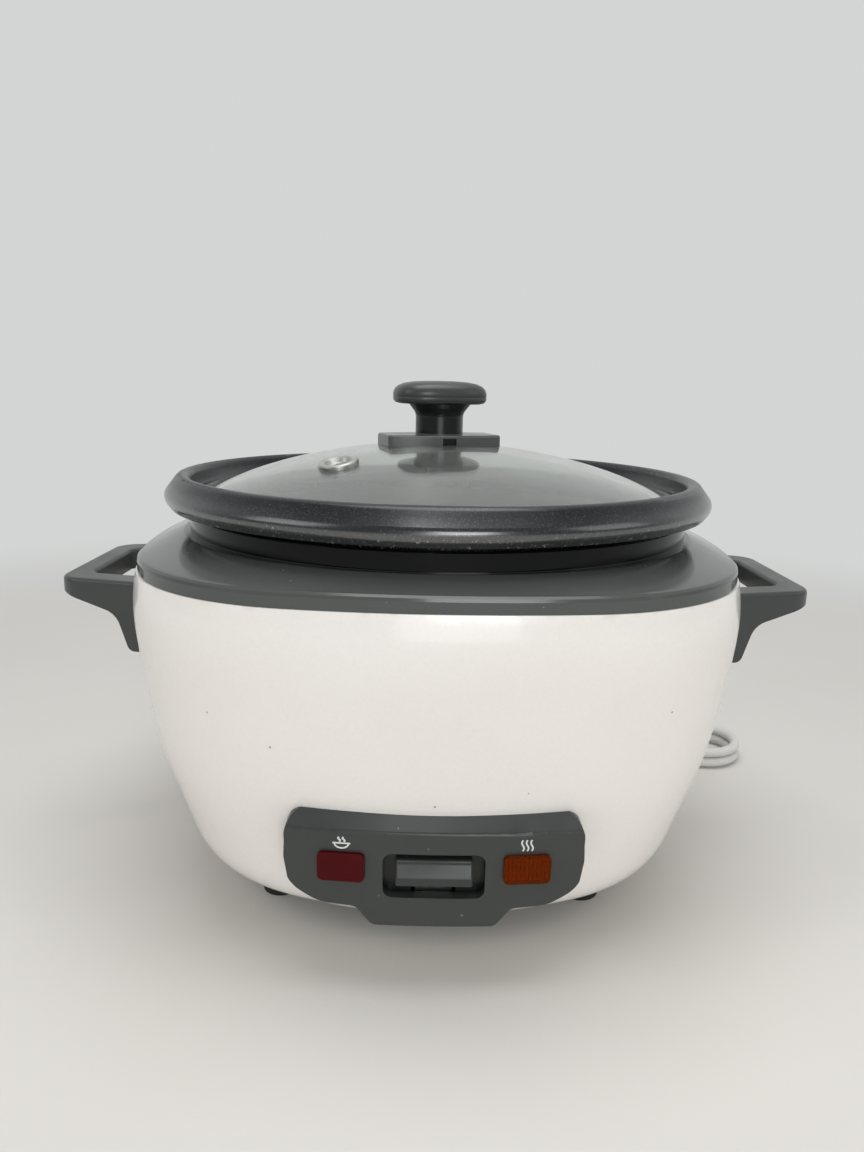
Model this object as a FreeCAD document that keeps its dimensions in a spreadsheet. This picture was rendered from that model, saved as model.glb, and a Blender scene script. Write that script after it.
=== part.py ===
import FreeCAD, Part
import os
import re
import Sketcher
from math import acos, asin, atan2, cos, degrees, pi, sin, sqrt, tan

V = FreeCAD.Vector
Z_AXIS = V(0, 0, 1)

# Driving dimensions, in millimetres and degrees
SIZES = {
    # Body wall: heights of its levels, from the table up
    "hem_height": 13.8, "heel_rise": 7.9, "knee_rise": 12.3, "flank_rise": 19.0, "hip_rise": 24.0,
    "waist_rise": 31.5, "belly_rise": 31.5, "brim_rise": 31.7,
    # Body wall: how far each level stands in from the brim
    "hem_inset": 40.6, "heel_inset": 30.1, "knee_inset": 18.8, "flank_inset": 13.6, "hip_inset": 7.5,
    "waist_inset": 2.2, "belly_bulge": 1.3,
    # Rounded-square plan at the brim and at the hem
    "brim_side_radius": 430, "brim_corner_radius": 97, "hem_side_radius": 165, "hem_corner_radius": 79,
    "shell_gauge": 1.2,
    # Fits and gaps that several pieces share
    "seat_gap": 0.3, "touch_gap": 0.3, "running_fit": 0.06, "press_fit": 0.02, "screw_fit": 0.05,
    "push_fit": 0.1, "screw_head": 2.6, "screw_head_round": 0.8,
    # Collar
    "pot_clearance": 1.8, "neck_gauge": 2.7, "collar_land": 18, "collar_reveal": 0.8, "collar_band": 5.0,
    "collar_draft": 0.1, "collar_round": 2.6, "collar_top_rise": 12.8, "neck_rise": 21.8,
    "collar_foot": 2.0, "collar_top_bow": 1.2, "collar_top_corner": 0.93,
    # Handles
    "handle_drop": 11.7, "handle_reach": 43, "handle_lip": 7.5, "handle_depth": 36,
    "handle_end_width": 92, "handle_root_width": 112, "handle_bar": 13, "handle_round": 2.2,
    "handle_bury": 40, "handle_knee_out": 11.6, "handle_knee_rise": 19.1, "handle_root_out": 5.2,
    "handle_root_round": 4, "handle_knee_round": 11, "handle_tip_round": 2.5, "handle_flare_round": 30,
    "handle_corner_round": 14, "handle_gap_round": 9, "handle_gap_bury": 15, "handle_trim": 20,
    "handle_screw_radius": 2.0, "handle_screw_inset": 10, "handle_screw_length": 13,
    "screw_seat_gap": 1.2,
    # Control panel
    "panel_radius": 430, "panel_proud": 13.6, "panel_top": 83.5, "panel_shoulder": 5.5,
    "panel_shelf": 6.5, "panel_half": 64.5, "panel_wall": 5.0, "panel_bury": 45, "panel_lean": 1.5,
    "panel_sweep": 24, "panel_shelf_round": 1, "panel_shoulder_round": 2, "panel_top_lap": 0.5,
    "panel_top_taper": 6, "panel_top_round": 7, "panel_brow": 13, "panel_side_round": 18,
    "panel_cheek_taper": 9, "panel_cheek_rise": 10, "panel_cheek_round": 16, "tongue_half": 26,
    "tongue_height": 34.5, "tongue_tuck": 8, "tongue_flare": 7, "tongue_rise": 8.5,
    "tongue_root_round": 5, "tongue_round": 4, "window_margin": 3, "window_rim": 13, "window_depth": 50,
    "lever_window_drop": 11.5, "lens_angle": 5.2, "lens_height": 62, "lens_width": 20, "lens_tall": 13,
    "lens_depth": 6, "lens_stand": 1.1, "lens_round": 2.5, "lens_spare": 4, "lamp_radius": 3.2,
    "lamp_length": 15, "slot_width": 43, "slot_top": 68.5, "slot_bottom": 48, "slot_depth": 7.3,
    "slot_round": 4, "slot_spare": 5, "slot_wall": 1, "lever_side_gap": 1.5,
    # Base and feet
    "base_gauge": 2.0, "base_gap": 0.3, "foot_radius": 11, "foot_inset_x": 29.9, "foot_inset_y": 41.9,
    "foot_taper": 1.5, "foot_round": 1, "foot_recess": 5.0, "foot_recess_gap": 0.8,
    "base_screw_radius": 2.0, "base_screw_stand": 4, "air_slot_pitch": 12, "air_slot_half": 2,
    "air_slot_near": 28, "air_slot_far": 62, "air_slot_round": 1.9,
    # Liner, heater plate and element
    "liner_gap": 3.0, "liner_gauge": 0.8, "liner_floor_height": 52, "liner_ledge": 43, "liner_flange": 8,
    "liner_round": 5, "stud_height": 6, "stud_radius": 4, "stud_inset": 10, "plate_gauge": 12,
    "plate_inset": 19.5, "plate_bore": 19, "plate_top_round": 3, "plate_round": 2, "plate_bore_round": 1,
    "element_inset": 36, "element_radius": 4, "element_angle": 320, "terminal_length": 14,
    "terminal_radius": 2, "terminal_angle": 3,
    # Pot
    "pot_radius": 127.5, "pot_taper": 6.5, "rim_joint_drop": 6, "pot_gauge": 2.2, "pot_heel": 22,
    "rim_clearance": 3.0, "bead_drop": 10.5, "bead_tail": 5.5, "bead_reach": 8.1, "bead_tuck": 4.1,
    "bead_round": 5, "bead_tip_rise": 1.2, "crest_width": 5.5, "crest_round": 4, "crest_inner_round": 3.6,
    "mouth_flare": 2.7, "seat_width": 3.8, "seat_drop": 15.5, "seat_round": 1, "rim_fold_round": 2,
    "rim_under_round": 1.2,
    # Lid
    "lid_clearance": 1.5, "rim_gauge": 1.2, "rim_floor": 0.9, "rim_lap": 5.5, "rim_height": 7.2,
    "rim_slope": 1.6, "rim_foot_round": 0.6, "rim_top_round": 0.8, "dome_radius": 322, "glass_gauge": 4,
    "knob_turn": 18, "knob_corner": 3, "flange_half": 31.5, "flange_flat": 12, "flange_depth": 23,
    "flange_bulge": 84, "flange_rise": 4.6, "flange_round": 1.4, "knob_bury": 6, "stem_radius": 12.8,
    "stem_rise": 20.6, "stem_flare": 4, "stem_flare_rise": 5, "stem_flare_round": 6, "cap_half": 25,
    "cap_flat": 10, "cap_depth": 17.5, "cap_bulge": 70, "cap_gauge": 12, "cap_round": 3.2,
    "notch_width": 7, "notch_rise": 2.1, "notch_depth": 6, "knob_bore": 3.0, "knob_hole_gap": 1,
    "retainer_radius": 13.5, "retainer_depth": 10, "retainer_round": 1.2, "retainer_bury": 1,
    "knob_screw_gap": 4, "vent_x": -49, "vent_y": -54, "vent_radius": 10, "vent_neck": 5.8,
    "vent_stand": 2.2, "vent_hole": 3.0, "vent_bury": 8, "vent_foot": 2, "vent_foot_lip": 1.8,
    "vent_round": 1.2, "vent_lip": 1.2, "vent_dish": 0.6, "vent_small_round": 0.4,
    # Sensor, magnet and lever
    "sensor_radius": 17.5, "sensor_gauge": 1.2, "sensor_skirt": 14, "sensor_round": 1.5,
    "housing_radius": 20, "housing_gauge": 1.2, "housing_depth": 14.8, "housing_flange": 6,
    "housing_round": 1.5, "spring_radius": 13.5, "spring_wire": 1.4, "spring_turns": 5, "rod_radius": 3.0,
    "magnet_radius": 9, "magnet_gauge": 6, "rod_length": 18.7, "pivot_inset": 45.9, "pivot_height": 38,
    "pin_radius": 2.0, "pin_stand": 1.5, "lever_half": 8, "lever_gauge": 3, "lever_rear_height": 30,
    "lever_front_height": 42, "lever_set_back": 10.5, "lever_head": 64, "lever_tail": 1, "lever_boss": 5,
    "crank_rear": 16, "crank_front": 12, "crank_shift": 1, "bracket_half": 13, "bracket_gauge": 2,
    "ear_foot": 13, "ear_half": 6, "ear_rise": 6, "ear_round": 5, "button_half": 16,
    "button_bottom": 55.5, "button_tall": 10.5, "button_depth": 13.5, "button_gap": 0.8, "button_neck": 7,
    "button_neck_lap": 2, "button_neck_foot": 1.5, "button_slope": 3, "button_top_round": 3,
    "button_lip": 4, "button_lip_round": 2, "button_foot_round": 1.2, "switch_half": 6,
    "switch_inset": 17.9, "switch_length": 16, "switch_top": 36, "switch_round": 1, "plunger_half": 2,
    "plunger_root": 6, "plunger_spare": 3, "lever_spring_inset": 4.9, "lever_spring_radius": 3.5,
    "lever_spring_wire": 1.2, "lever_spring_turns": 6,
    # Small electrical pieces
    "thermostat_offset": 32, "thermostat_radius": 9, "thermostat_tall": 9, "fuse_radius": 3,
    "fuse_length": 14, "block_width": 24, "block_length": 16, "block_tall": 14, "block_inset": 29.9,
    # Cord
    "cord_diameter": 6.5, "gland_x": -30, "gland_height": 42, "gland_neck": 6.0, "gland_flange": 8.5,
    "gland_tip": 4.4, "gland_length": 30, "gland_bury": 6, "gland_reach": 11, "gland_flange_stand": 5,
    "gland_flange_round": 1.5, "gland_cone": 2, "loop_radius": 25, "layer_pitch": 7.0, "waist_half": 3.65,
    "end_run": 7, "plug_run": 14, "lead_run": 22, "tie_gauge": 0.8, "tie_gap": 0.3, "tie_width": 10,
    "tie_round": 2.6, "floor_gap": 0.1, "plug_sleeve": 20, "sleeve_lap": 2, "sleeve_tip": 4.0,
    "sleeve_root": 5.5, "plug_length": 30, "plug_width": 24, "plug_tall": 19, "plug_shoulder": 9,
    "plug_shoulder_round": 5, "plug_face_round": 2, "plug_round": 2.5, "blade_length": 17,
    "blade_width": 6.3, "blade_gauge": 1.5, "blade_spread": 12.7,
}

doc = FreeCAD.newDocument("rice_cooker")
sheet = doc.addObject("Spreadsheet::Sheet", "sizes")
for row, (alias, number) in enumerate(SIZES.items(), 1):
    sheet.set("A%d" % row, alias)
    sheet.set("B%d" % row, str(number))
    sheet.setAlias("B%d" % row, alias)
doc.recompute()

# Levels and radii worked out from the driving dimensions
HEM = "hem_height"
HEEL = "(hem_height + heel_rise)"
KNEE = "(%s + knee_rise)" % HEEL
FLANK = "(%s + flank_rise)" % KNEE
HIP = "(%s + hip_rise)" % FLANK
WAIST = "(%s + waist_rise)" % HIP
BELLY = "(%s + belly_rise)" % WAIST
BRIM = "(%s + brim_rise)" % BELLY
BORE = "(pot_radius + pot_clearance)"
NECK = "(%s + neck_gauge)" % BORE
BODY_HALF = "(%s + collar_land)" % NECK
NECK_TOP = "(%s + neck_rise)" % BRIM
CREST = "(%s + rim_clearance + bead_drop + bead_tail)" % NECK_TOP
SEAT = "(%s - seat_drop)" % CREST
BASE_TOP = "(hem_height + base_gauge)"
PLATE_UNDER = "(liner_floor_height + liner_gauge + stud_height)"
PLATE_TOP = "(%s + plate_gauge)" % PLATE_UNDER
POT_BOTTOM = "(%s + seat_gap)" % PLATE_TOP
POT_INNER = "(pot_radius - pot_gauge)"
MOUTH = "(%s + seat_width)" % POT_INNER
LID_BOTTOM = "(%s + seat_gap)" % SEAT
LID_EDGE = "(%s - lid_clearance)" % MOUTH
GLASS_EDGE = "(%s - rim_gauge)" % LID_EDGE
DOME_INNER = "(dome_radius - glass_gauge)"
DOME_CENTRE = "(%s + rim_floor - sqrt(%s ^ 2 - %s ^ 2))" % (LID_BOTTOM, DOME_INNER, GLASS_EDGE)
APEX = "(%s + dome_radius)" % DOME_CENTRE
GLASS_UNDER = "(%s - glass_gauge)" % APEX
FLANGE_TOP = "(%s + flange_rise)" % APEX
CAP_UNDER = "(%s + stem_rise - flange_rise)" % FLANGE_TOP
KNEE_HALF = "(%s - knee_inset)" % BODY_HALF
FLANK_HALF = "(%s - flank_inset)" % BODY_HALF
BASE_HALF = "(%s - hem_inset - shell_gauge - base_gap)" % BODY_HALF
PANEL_FACE = "(%s + panel_proud)" % FLANK_HALF
PANEL_CENTRE = "(panel_radius - %s)" % PANEL_FACE
LEVER_FRONT = "(%s - lever_set_back)" % PANEL_FACE
PIVOT_Y = "(pivot_inset - %s)" % BASE_HALF
SWITCH_Y = "(switch_inset - %s)" % BASE_HALF
LEVER_SPRING_Y = "(lever_spring_inset - %s)" % BASE_HALF
BLOCK_Y = "(%s - block_inset)" % BASE_HALF
FOOT_X = "(%s - foot_inset_x)" % BASE_HALF
FOOT_Y = "(%s - foot_inset_y)" % BASE_HALF
PLATE_RADIUS = "(pot_radius - plate_inset)"
STUD_CIRCLE = "(%s - stud_inset)" % PLATE_RADIUS
ELEMENT_CIRCLE = "(%s - element_inset)" % PLATE_RADIUS
POT_BASE = "(pot_radius - pot_taper)"
SCREW_SPREAD = "(handle_root_width / 2 - handle_screw_inset)"
HOUSING_FLOOR = "(%s - housing_depth)" % PLATE_UNDER
SENSOR_TOP = "(%s - seat_gap)" % POT_BOTTOM
ROD_FOOT = "(lever_rear_height + lever_gauge + touch_gap)"
MAGNET_FOOT = "(%s + rod_length)" % ROD_FOOT
HANDLE_TOP = "(%s - handle_drop)" % BRIM
HANDLE_OUT = "(%s + handle_reach)" % BODY_HALF


def size(words):
    return float(sheet.evalExpression(words))


def bound(words):
    return re.sub(r"[a-z]\w*", lambda m: "sizes." + m.group() if m.group() in SIZES else m.group(), words)


def new_body(name):
    body = doc.addObject("PartDesign::Body", name)
    body.Label = name
    return body


def new_sketch(body, name, plane, offset):
    sketch = body.newObject("Sketcher::SketchObject", name)
    support = [f for f in body.Origin.OriginFeatures if f.Role == plane + "_Plane"]
    sketch.AttachmentSupport = [(support[0], "")]
    sketch.MapMode = "FlatFace"
    sketch.setExpression("AttachmentOffset.Base.z", bound(offset))
    return sketch


def add_bound(sketch, constraint, words):
    index = sketch.addConstraint(constraint)
    sketch.setExpression("Constraints[%d]" % index, bound(words))


def add_outline(sketch, corners):
    """Closed outline of straight sides. A corner is (x, y) or (x, y, radius of its round)."""
    points = [V(size(c[0]), size(c[1]), 0) for c in corners]
    rounds = [size(c[2]) if len(c) > 2 else 0.0 for c in corners]
    count = len(corners)
    first = sketch.GeometryCount
    ends = []
    for i, point in enumerate(points):
        back = (points[i - 1] - point).normalize()
        ahead = (points[(i + 1) % count] - point).normalize()
        half = acos(max(-1.0, min(1.0, back.dot(ahead)))) / 2
        reach = rounds[i] / tan(half) if rounds[i] else 0.0
        ends.append((point + back * reach, point + ahead * reach, back, ahead, half))
    for i in range(count):
        sketch.addGeometry(Part.LineSegment(ends[i][1], ends[(i + 1) % count][0]))
    for i, corner in enumerate(corners):
        before = first + (i - 1) % count
        after = first + i
        start, stop, back, ahead, half = ends[i]
        if not rounds[i]:
            sketch.addConstraint(Sketcher.Constraint("Coincident", before, 2, after, 1))
            add_bound(sketch, Sketcher.Constraint("DistanceX", after, 1, points[i].x), corner[0])
            add_bound(sketch, Sketcher.Constraint("DistanceY", after, 1, points[i].y), corner[1])
            continue
        mark = sketch.addGeometry(Part.Point(points[i]), True)
        add_bound(sketch, Sketcher.Constraint("DistanceX", mark, 1, points[i].x), corner[0])
        add_bound(sketch, Sketcher.Constraint("DistanceY", mark, 1, points[i].y), corner[1])
        sketch.addConstraint(Sketcher.Constraint("PointOnObject", mark, 1, before))
        sketch.addConstraint(Sketcher.Constraint("PointOnObject", mark, 1, after))
        centre = points[i] + (back + ahead).normalize() * (rounds[i] / sin(half))
        low = atan2(start.y - centre.y, start.x - centre.x)
        high = atan2(stop.y - centre.y, stop.x - centre.x)
        left_turn = back.cross(ahead).z < 0
        if not left_turn:
            low, high = high, low
        if high < low:
            high += 2 * pi
        circle = Part.Circle(centre, Z_AXIS, rounds[i])
        arc = sketch.addGeometry(Part.ArcOfCircle(circle, low, high))
        sketch.addConstraint(Sketcher.Constraint("Tangent", before, 2, arc, 1 if left_turn else 2))
        sketch.addConstraint(Sketcher.Constraint("Tangent", arc, 2 if left_turn else 1, after, 1))
        add_bound(sketch, Sketcher.Constraint("Radius", arc, rounds[i]), corner[2])


def add_circle(sketch, x, y, radius):
    circle = sketch.addGeometry(Part.Circle(V(size(x), size(y), 0), Z_AXIS, size(radius)))
    add_bound(sketch, Sketcher.Constraint("Radius", circle, size(radius)), radius)
    add_bound(sketch, Sketcher.Constraint("DistanceX", circle, 3, size(x)), x)
    add_bound(sketch, Sketcher.Constraint("DistanceY", circle, 3, size(y)), y)


def lathe(body, corners, name="turned", angle=None):
    sketch = new_sketch(body, body.Name + "_" + name + "_profile", "XZ", "0")
    add_outline(sketch, corners)
    turned = body.newObject("PartDesign::Revolution", body.Name + "_" + name)
    turned.Profile = sketch
    turned.ReferenceAxis = (sketch, ["V_Axis"])
    if angle:
        turned.setExpression("Angle", bound(angle))
    else:
        turned.Angle = 360
    return turned


def sketch_of(body, name, plane, offset, shapes):
    sketch = new_sketch(body, body.Name + "_" + name + "_outline", plane, offset)
    for shape in shapes:
        if isinstance(shape, list):
            add_outline(sketch, shape)
        else:
            add_circle(sketch, *shape)
    return sketch


def pad(body, name, plane, offset, shapes, length, both_ways=False, downwards=False):
    solid = body.newObject("PartDesign::Pad", body.Name + "_" + name)
    solid.Profile = sketch_of(body, name, plane, offset, shapes)
    solid.setExpression("Length", bound(length))
    solid.SideType = "Symmetric" if both_ways else "One side"
    solid.Reversed = downwards
    return solid


def pocket(body, name, plane, offset, shapes, length=None, upwards=False):
    """A cut of the given depth, or through everything both ways where no depth is given."""
    doc.recompute()
    before = body.Shape.Volume
    cut = body.newObject("PartDesign::Pocket", body.Name + "_" + name)
    cut.Profile = sketch_of(body, name, plane, offset, shapes)
    if length:
        cut.setExpression("Length", bound(length))
        cut.Reversed = upwards
    else:
        cut.Type = "ThroughAll"
        cut.SideType = "Symmetric"
    doc.recompute()
    if not before - body.Shape.Volume > 0.1:
        raise ValueError("nothing was cut by " + cut.Name)
    return cut


def round_edges(body, heights, radius):
    """Round every edge that lies flat at one of the heights of the body's own frame."""
    doc.recompute()
    tip = body.Tip
    names = []
    for i, edge in enumerate(tip.Shape.Edges, 1):
        box = edge.BoundBox
        if box.ZLength < 1e-4 and any(abs(box.ZMin - size(level)) < 1e-3 for level in heights):
            names.append("Edge%d" % i)
    fillet = body.newObject("PartDesign::Fillet", body.Name + "_rounds")
    fillet.Base = (tip, names)
    fillet.setExpression("Radius", bound(radius))
    return fillet


def rectangle(x0, x1, y0, y1, radius=None):
    corners = [(x0, y0), (x1, y0), (x1, y1), (x0, y1)]
    return [corner + (radius,) for corner in corners] if radius else corners


def place(item, x="0", y="0", z="0", turn=None):
    item.setExpression("Placement.Base.x", bound(x))
    item.setExpression("Placement.Base.y", bound(y))
    item.setExpression("Placement.Base.z", bound(z))
    if turn:
        item.Placement.Rotation = turn
    return item


def cylinder(name, radius, height, x="0", y="0", z="0", turn=None):
    item = doc.addObject("Part::Cylinder", name)
    item.Label = name
    item.setExpression("Radius", bound(radius))
    item.setExpression("Height", bound(height))
    return place(item, x, y, z, turn)


def box(name, x0, x1, y0, y1, z0, z1):
    item = doc.addObject("Part::Box", name)
    item.Label = name
    item.setExpression("Length", bound("(%s) - (%s)" % (x1, x0)))
    item.setExpression("Width", bound("(%s) - (%s)" % (y1, y0)))
    item.setExpression("Height", bound("(%s) - (%s)" % (z1, z0)))
    return place(item, x0, y0, z0)


def cut(name, base, tools):
    result = doc.addObject("Part::Cut", name)
    result.Label = name
    result.Base = base
    result.Tool = tools[0] if len(tools) == 1 else fuse(name + "_tools", tools)
    return result


def fuse(name, items):
    result = doc.addObject("Part::MultiFuse", name)
    result.Label = name
    result.Shapes = items
    return result


def squircle(body, name, height, half, side, corner):
    """Rounded square of eight tangent arcs: four shallow sides and four corners."""
    if body:
        sketch = new_sketch(body, name, "XY", height)
    else:
        sketch = doc.addObject("Sketcher::SketchObject", name)
        sketch.setExpression("Placement.Base.z", bound(height))
    a = size(half)
    side_radius = size(side)
    corner_radius = size(corner)
    shift = side_radius - a
    reach = (sqrt(2 * (side_radius - corner_radius) ** 2 - shift ** 2) - shift) / 2
    sweep = atan2(reach, reach + shift)
    for quarter in range(4):
        turn = quarter * pi / 2
        side_centre = V(-shift * cos(turn), -shift * sin(turn), 0)
        corner_centre = V(reach * (cos(turn) - sin(turn)), reach * (sin(turn) + cos(turn)), 0)
        side_circle = Part.Circle(side_centre, Z_AXIS, side_radius)
        corner_circle = Part.Circle(corner_centre, Z_AXIS, corner_radius)
        sketch.addGeometry(Part.ArcOfCircle(side_circle, turn - sweep, turn + sweep))
        sketch.addGeometry(Part.ArcOfCircle(corner_circle, turn + sweep, turn + pi / 2 - sweep))
    for i in range(8):
        sketch.addConstraint(Sketcher.Constraint("Tangent", i, 2, (i + 1) % 8, 1))
    for quarter in range(4):
        axis = -1 if quarter % 2 == 0 else -2
        sketch.addConstraint(Sketcher.Constraint("PointOnObject", 2 * quarter, 3, axis))
    for quarter in range(1, 4):
        sketch.addConstraint(Sketcher.Constraint("Equal", 0, 2 * quarter))
        sketch.addConstraint(Sketcher.Constraint("Equal", 1, 2 * quarter + 1))
    add_bound(sketch, Sketcher.Constraint("Radius", 0, side_radius), side)
    add_bound(sketch, Sketcher.Constraint("Radius", 1, corner_radius), corner)
    inward = "%s - (%s)" % (half, side)
    outward = "%s - (%s)" % (side, half)
    add_bound(sketch, Sketcher.Constraint("DistanceX", 0, 3, -shift), inward)
    add_bound(sketch, Sketcher.Constraint("DistanceY", 2, 3, -shift), inward)
    add_bound(sketch, Sketcher.Constraint("DistanceX", 4, 3, shift), outward)
    add_bound(sketch, Sketcher.Constraint("DistanceY", 6, 3, shift), outward)
    return sketch


# Body wall, a smooth loft through its levels
WALL = [(HEM, "hem_inset"), (HEEL, "heel_inset"), (KNEE, "knee_inset"), (FLANK, "flank_inset"),
        (HIP, "hip_inset"), (WAIST, "waist_inset"), (BELLY, "(0 - belly_bulge)"), (BRIM, "0")]


def wall_loft(name, inward):
    sections = []
    for i, (level, inset) in enumerate(WALL):
        share = "((%s - %s) / (%s - hem_height))" % (BRIM, level, BRIM)
        half = "(%s - %s - %s)" % (BODY_HALF, inset, inward)
        side = "(brim_side_radius + (hem_side_radius - brim_side_radius) * %s - %s)" % (share, inward)
        corner = "(brim_corner_radius + (hem_corner_radius - brim_corner_radius) * %s - %s)" % (share, inward)
        sections.append(squircle(None, "%s_level_%d" % (name, i), level, half, side, corner))
    solid = doc.addObject("Part::Loft", name)
    solid.Sections = sections
    solid.Solid = True
    solid.MaxDegree = 3
    return solid


wall_solid = wall_loft("wall_solid", "0")
wall_core = wall_loft("wall_core", "shell_gauge")

# Openings through the wall: behind the panel, for the lever, for the gland and for the handle screws
PANEL_BACK = "(panel_wall - %s)" % PANEL_FACE
WINDOW_BACK = "(window_depth - %s)" % PANEL_FACE
WINDOW_IN = "(slot_width / 2 + window_margin)"
WINDOW_OUT = "(panel_half - window_rim)"
WINDOW_LOW = "(lens_height - lens_tall / 2 - window_margin)"
WINDOW_HIGH = "(lens_height + lens_tall / 2 + window_margin)"
LEVER_ROOM = "(lever_half + lever_side_gap)"
windows = [
    box("cook_window", "0 - " + WINDOW_OUT, "0 - " + WINDOW_IN, PANEL_BACK, WINDOW_BACK,
        WINDOW_LOW, WINDOW_HIGH),
    box("warm_window", WINDOW_IN, WINDOW_OUT, PANEL_BACK, WINDOW_BACK, WINDOW_LOW, WINDOW_HIGH),
    box("lever_window", "0 - " + LEVER_ROOM, LEVER_ROOM, "slot_depth - slot_wall - " + PANEL_FACE,
        WINDOW_BACK, "slot_bottom - lever_window_drop", "slot_top"),
]
SIDE_DROP = "(%s ^ 2 / (2 * brim_side_radius))" % SCREW_SPREAD
SCREW_SEAT = "(%s + belly_bulge - shell_gauge - %s - screw_seat_gap)" % (BODY_HALF, SIDE_DROP)
ALONG_X = FreeCAD.Rotation(V(0, 1, 0), 90)
OUTWARD = {1: ALONG_X, -1: FreeCAD.Rotation(V(0, 1, 0), -90)}
ALONG_Y = FreeCAD.Rotation(V(1, 0, 0), -90)
SCREW_PLACES = [(1, 1), (1, -1), (-1, 1), (-1, -1)]


def signed(sign, words):
    return words if sign > 0 else "(0 - %s)" % words


screw_holes = []
for number, (side, end) in enumerate(SCREW_PLACES, 1):
    screw_holes.append(cylinder("handle_screw_hole_%d" % number, "handle_screw_radius + screw_fit",
                                "handle_screw_length + touch_gap", signed(side, SCREW_SEAT),
                                signed(end, SCREW_SPREAD), BELLY, OUTWARD[side]))

GLAND_SHARE = "((%s - gland_height) / (%s - hem_height))" % (BRIM, BRIM)
GLAND_SIDE = "(brim_side_radius + (hem_side_radius - brim_side_radius) * %s)" % GLAND_SHARE
GLAND_SEAT = "(%s + (%s - %s) * (gland_height - %s) / flank_rise - gland_x ^ 2 / (2 * %s))" % (
    KNEE_HALF, FLANK_HALF, KNEE_HALF, KNEE, GLAND_SIDE)
gland_hole = cylinder("gland_hole", "gland_neck + push_fit", "2 * gland_reach", "gland_x",
                      GLAND_SEAT + " - gland_reach", "gland_height", ALONG_Y)
outer_shell = cut("outer_shell", wall_solid, [wall_core, gland_hole] + windows + screw_holes)

# Collar: band, rounded edge, slope up to the neck, and the bore for the pot
top_collar = new_body("top_collar")
COLLAR_HALF = "(%s - collar_reveal)" % BODY_HALF
BAND_TOP = "(%s + collar_band)" % BRIM
BAND_HALF = "(%s - collar_draft)" % COLLAR_HALF
collar_levels = [(BRIM, COLLAR_HALF), (BAND_TOP, BAND_HALF)]
for angle in (30, 60, 90):
    collar_levels.append(("(%s + collar_round * sin(%ddeg))" % (BAND_TOP, angle),
                          "(%s - collar_round * (1 - cos(%ddeg)))" % (BAND_HALF, angle)))
collar_sections = []
for number, (level, half) in enumerate(collar_levels):
    inset = "(%s - %s)" % (BODY_HALF, half)
    collar_sections.append(squircle(top_collar, "collar_level_%d" % number, level, half,
                                    "(brim_side_radius - %s)" % inset, "(brim_corner_radius - %s)" % inset))
COLLAR_TOP_HALF = "(%s + collar_foot)" % NECK
collar_sections.append(squircle(top_collar, "collar_top", "(%s + collar_top_rise)" % BRIM, COLLAR_TOP_HALF,
                                COLLAR_TOP_HALF + " * collar_top_bow",
                                COLLAR_TOP_HALF + " * collar_top_corner"))
collar_slope = top_collar.newObject("PartDesign::AdditiveLoft", "collar_slope")
collar_slope.Profile = collar_sections[0]
collar_slope.Sections = collar_sections[1:]
collar_slope.Ruled = True
NECK_ROUND = "neck_gauge / 3"
lathe(top_collar, [(BORE, BRIM), (NECK, BRIM), (NECK, NECK_TOP, NECK_ROUND), (BORE, NECK_TOP, NECK_ROUND)],
      "neck")
pocket(top_collar, "bore", "XY", BRIM, [("0", "0", BORE)])

# Handles: a side profile with a curved gusset, cut to a loop in plan, and seated on the wall
def handle(name, side, holes):
    body = new_body(name + "_blank")
    inside = signed(side, "(%s - handle_bury)" % BODY_HALF)
    outside = signed(side, HANDLE_OUT)
    knee = signed(side, "(%s + handle_knee_out)" % BODY_HALF)
    root = signed(side, "(%s + handle_root_out)" % BODY_HALF)
    low = "(%s - handle_depth)" % HANDLE_TOP
    profile = [(inside, HANDLE_TOP), (inside, low), (root, low, "handle_root_round"),
               (knee, low + " + handle_knee_rise", "handle_knee_round"),
               (outside, "(%s - handle_lip)" % HANDLE_TOP, "handle_tip_round"), (outside, HANDLE_TOP)]
    pad(body, "gusset", "XZ", "0", [profile if side < 0 else profile[::-1]],
        "handle_root_width + 2 * handle_trim", both_ways=True)
    end_half = "(handle_end_width / 2)"
    root_half = "(handle_root_width / 2)"
    wall = signed(side, BODY_HALF)
    near = signed(side, "(%s - handle_bury - handle_trim)" % BODY_HALF)
    nearer = signed(side, "(%s - handle_bury - handle_trim / 2)" % BODY_HALF)
    far = signed(side, "(%s + handle_trim)" % HANDLE_OUT)
    frame_half = "(%s + 2 * handle_trim)" % root_half
    loop = [(nearer, "0 - " + root_half), (wall, "0 - " + root_half, "handle_flare_round"),
            (outside, "0 - " + end_half, "handle_corner_round"), (outside, end_half, "handle_corner_round"),
            (wall, root_half, "handle_flare_round"), (nearer, root_half)]
    pocket(body, "plan", "XY", BRIM, [rectangle(near, far, "0 - " + frame_half, frame_half), loop])
    bar_in = signed(side, "(%s - handle_bar)" % HANDLE_OUT)
    gap_in = signed(side, "(%s - handle_gap_bury)" % BODY_HALF)
    pocket(body, "gap", "XY", BRIM,
           [[(gap_in, "handle_bar - " + root_half), (bar_in, "handle_bar - " + end_half, "handle_gap_round"),
             (bar_in, end_half + " - handle_bar", "handle_gap_round"),
             (gap_in, root_half + " - handle_bar")]])
    round_edges(body, [HANDLE_TOP], "handle_round")
    return cut(name, body, [wall_solid] + holes)


left_handle = handle("left_handle", -1, screw_holes[2:])
right_handle = handle("right_handle", 1, screw_holes[:2])

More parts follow.
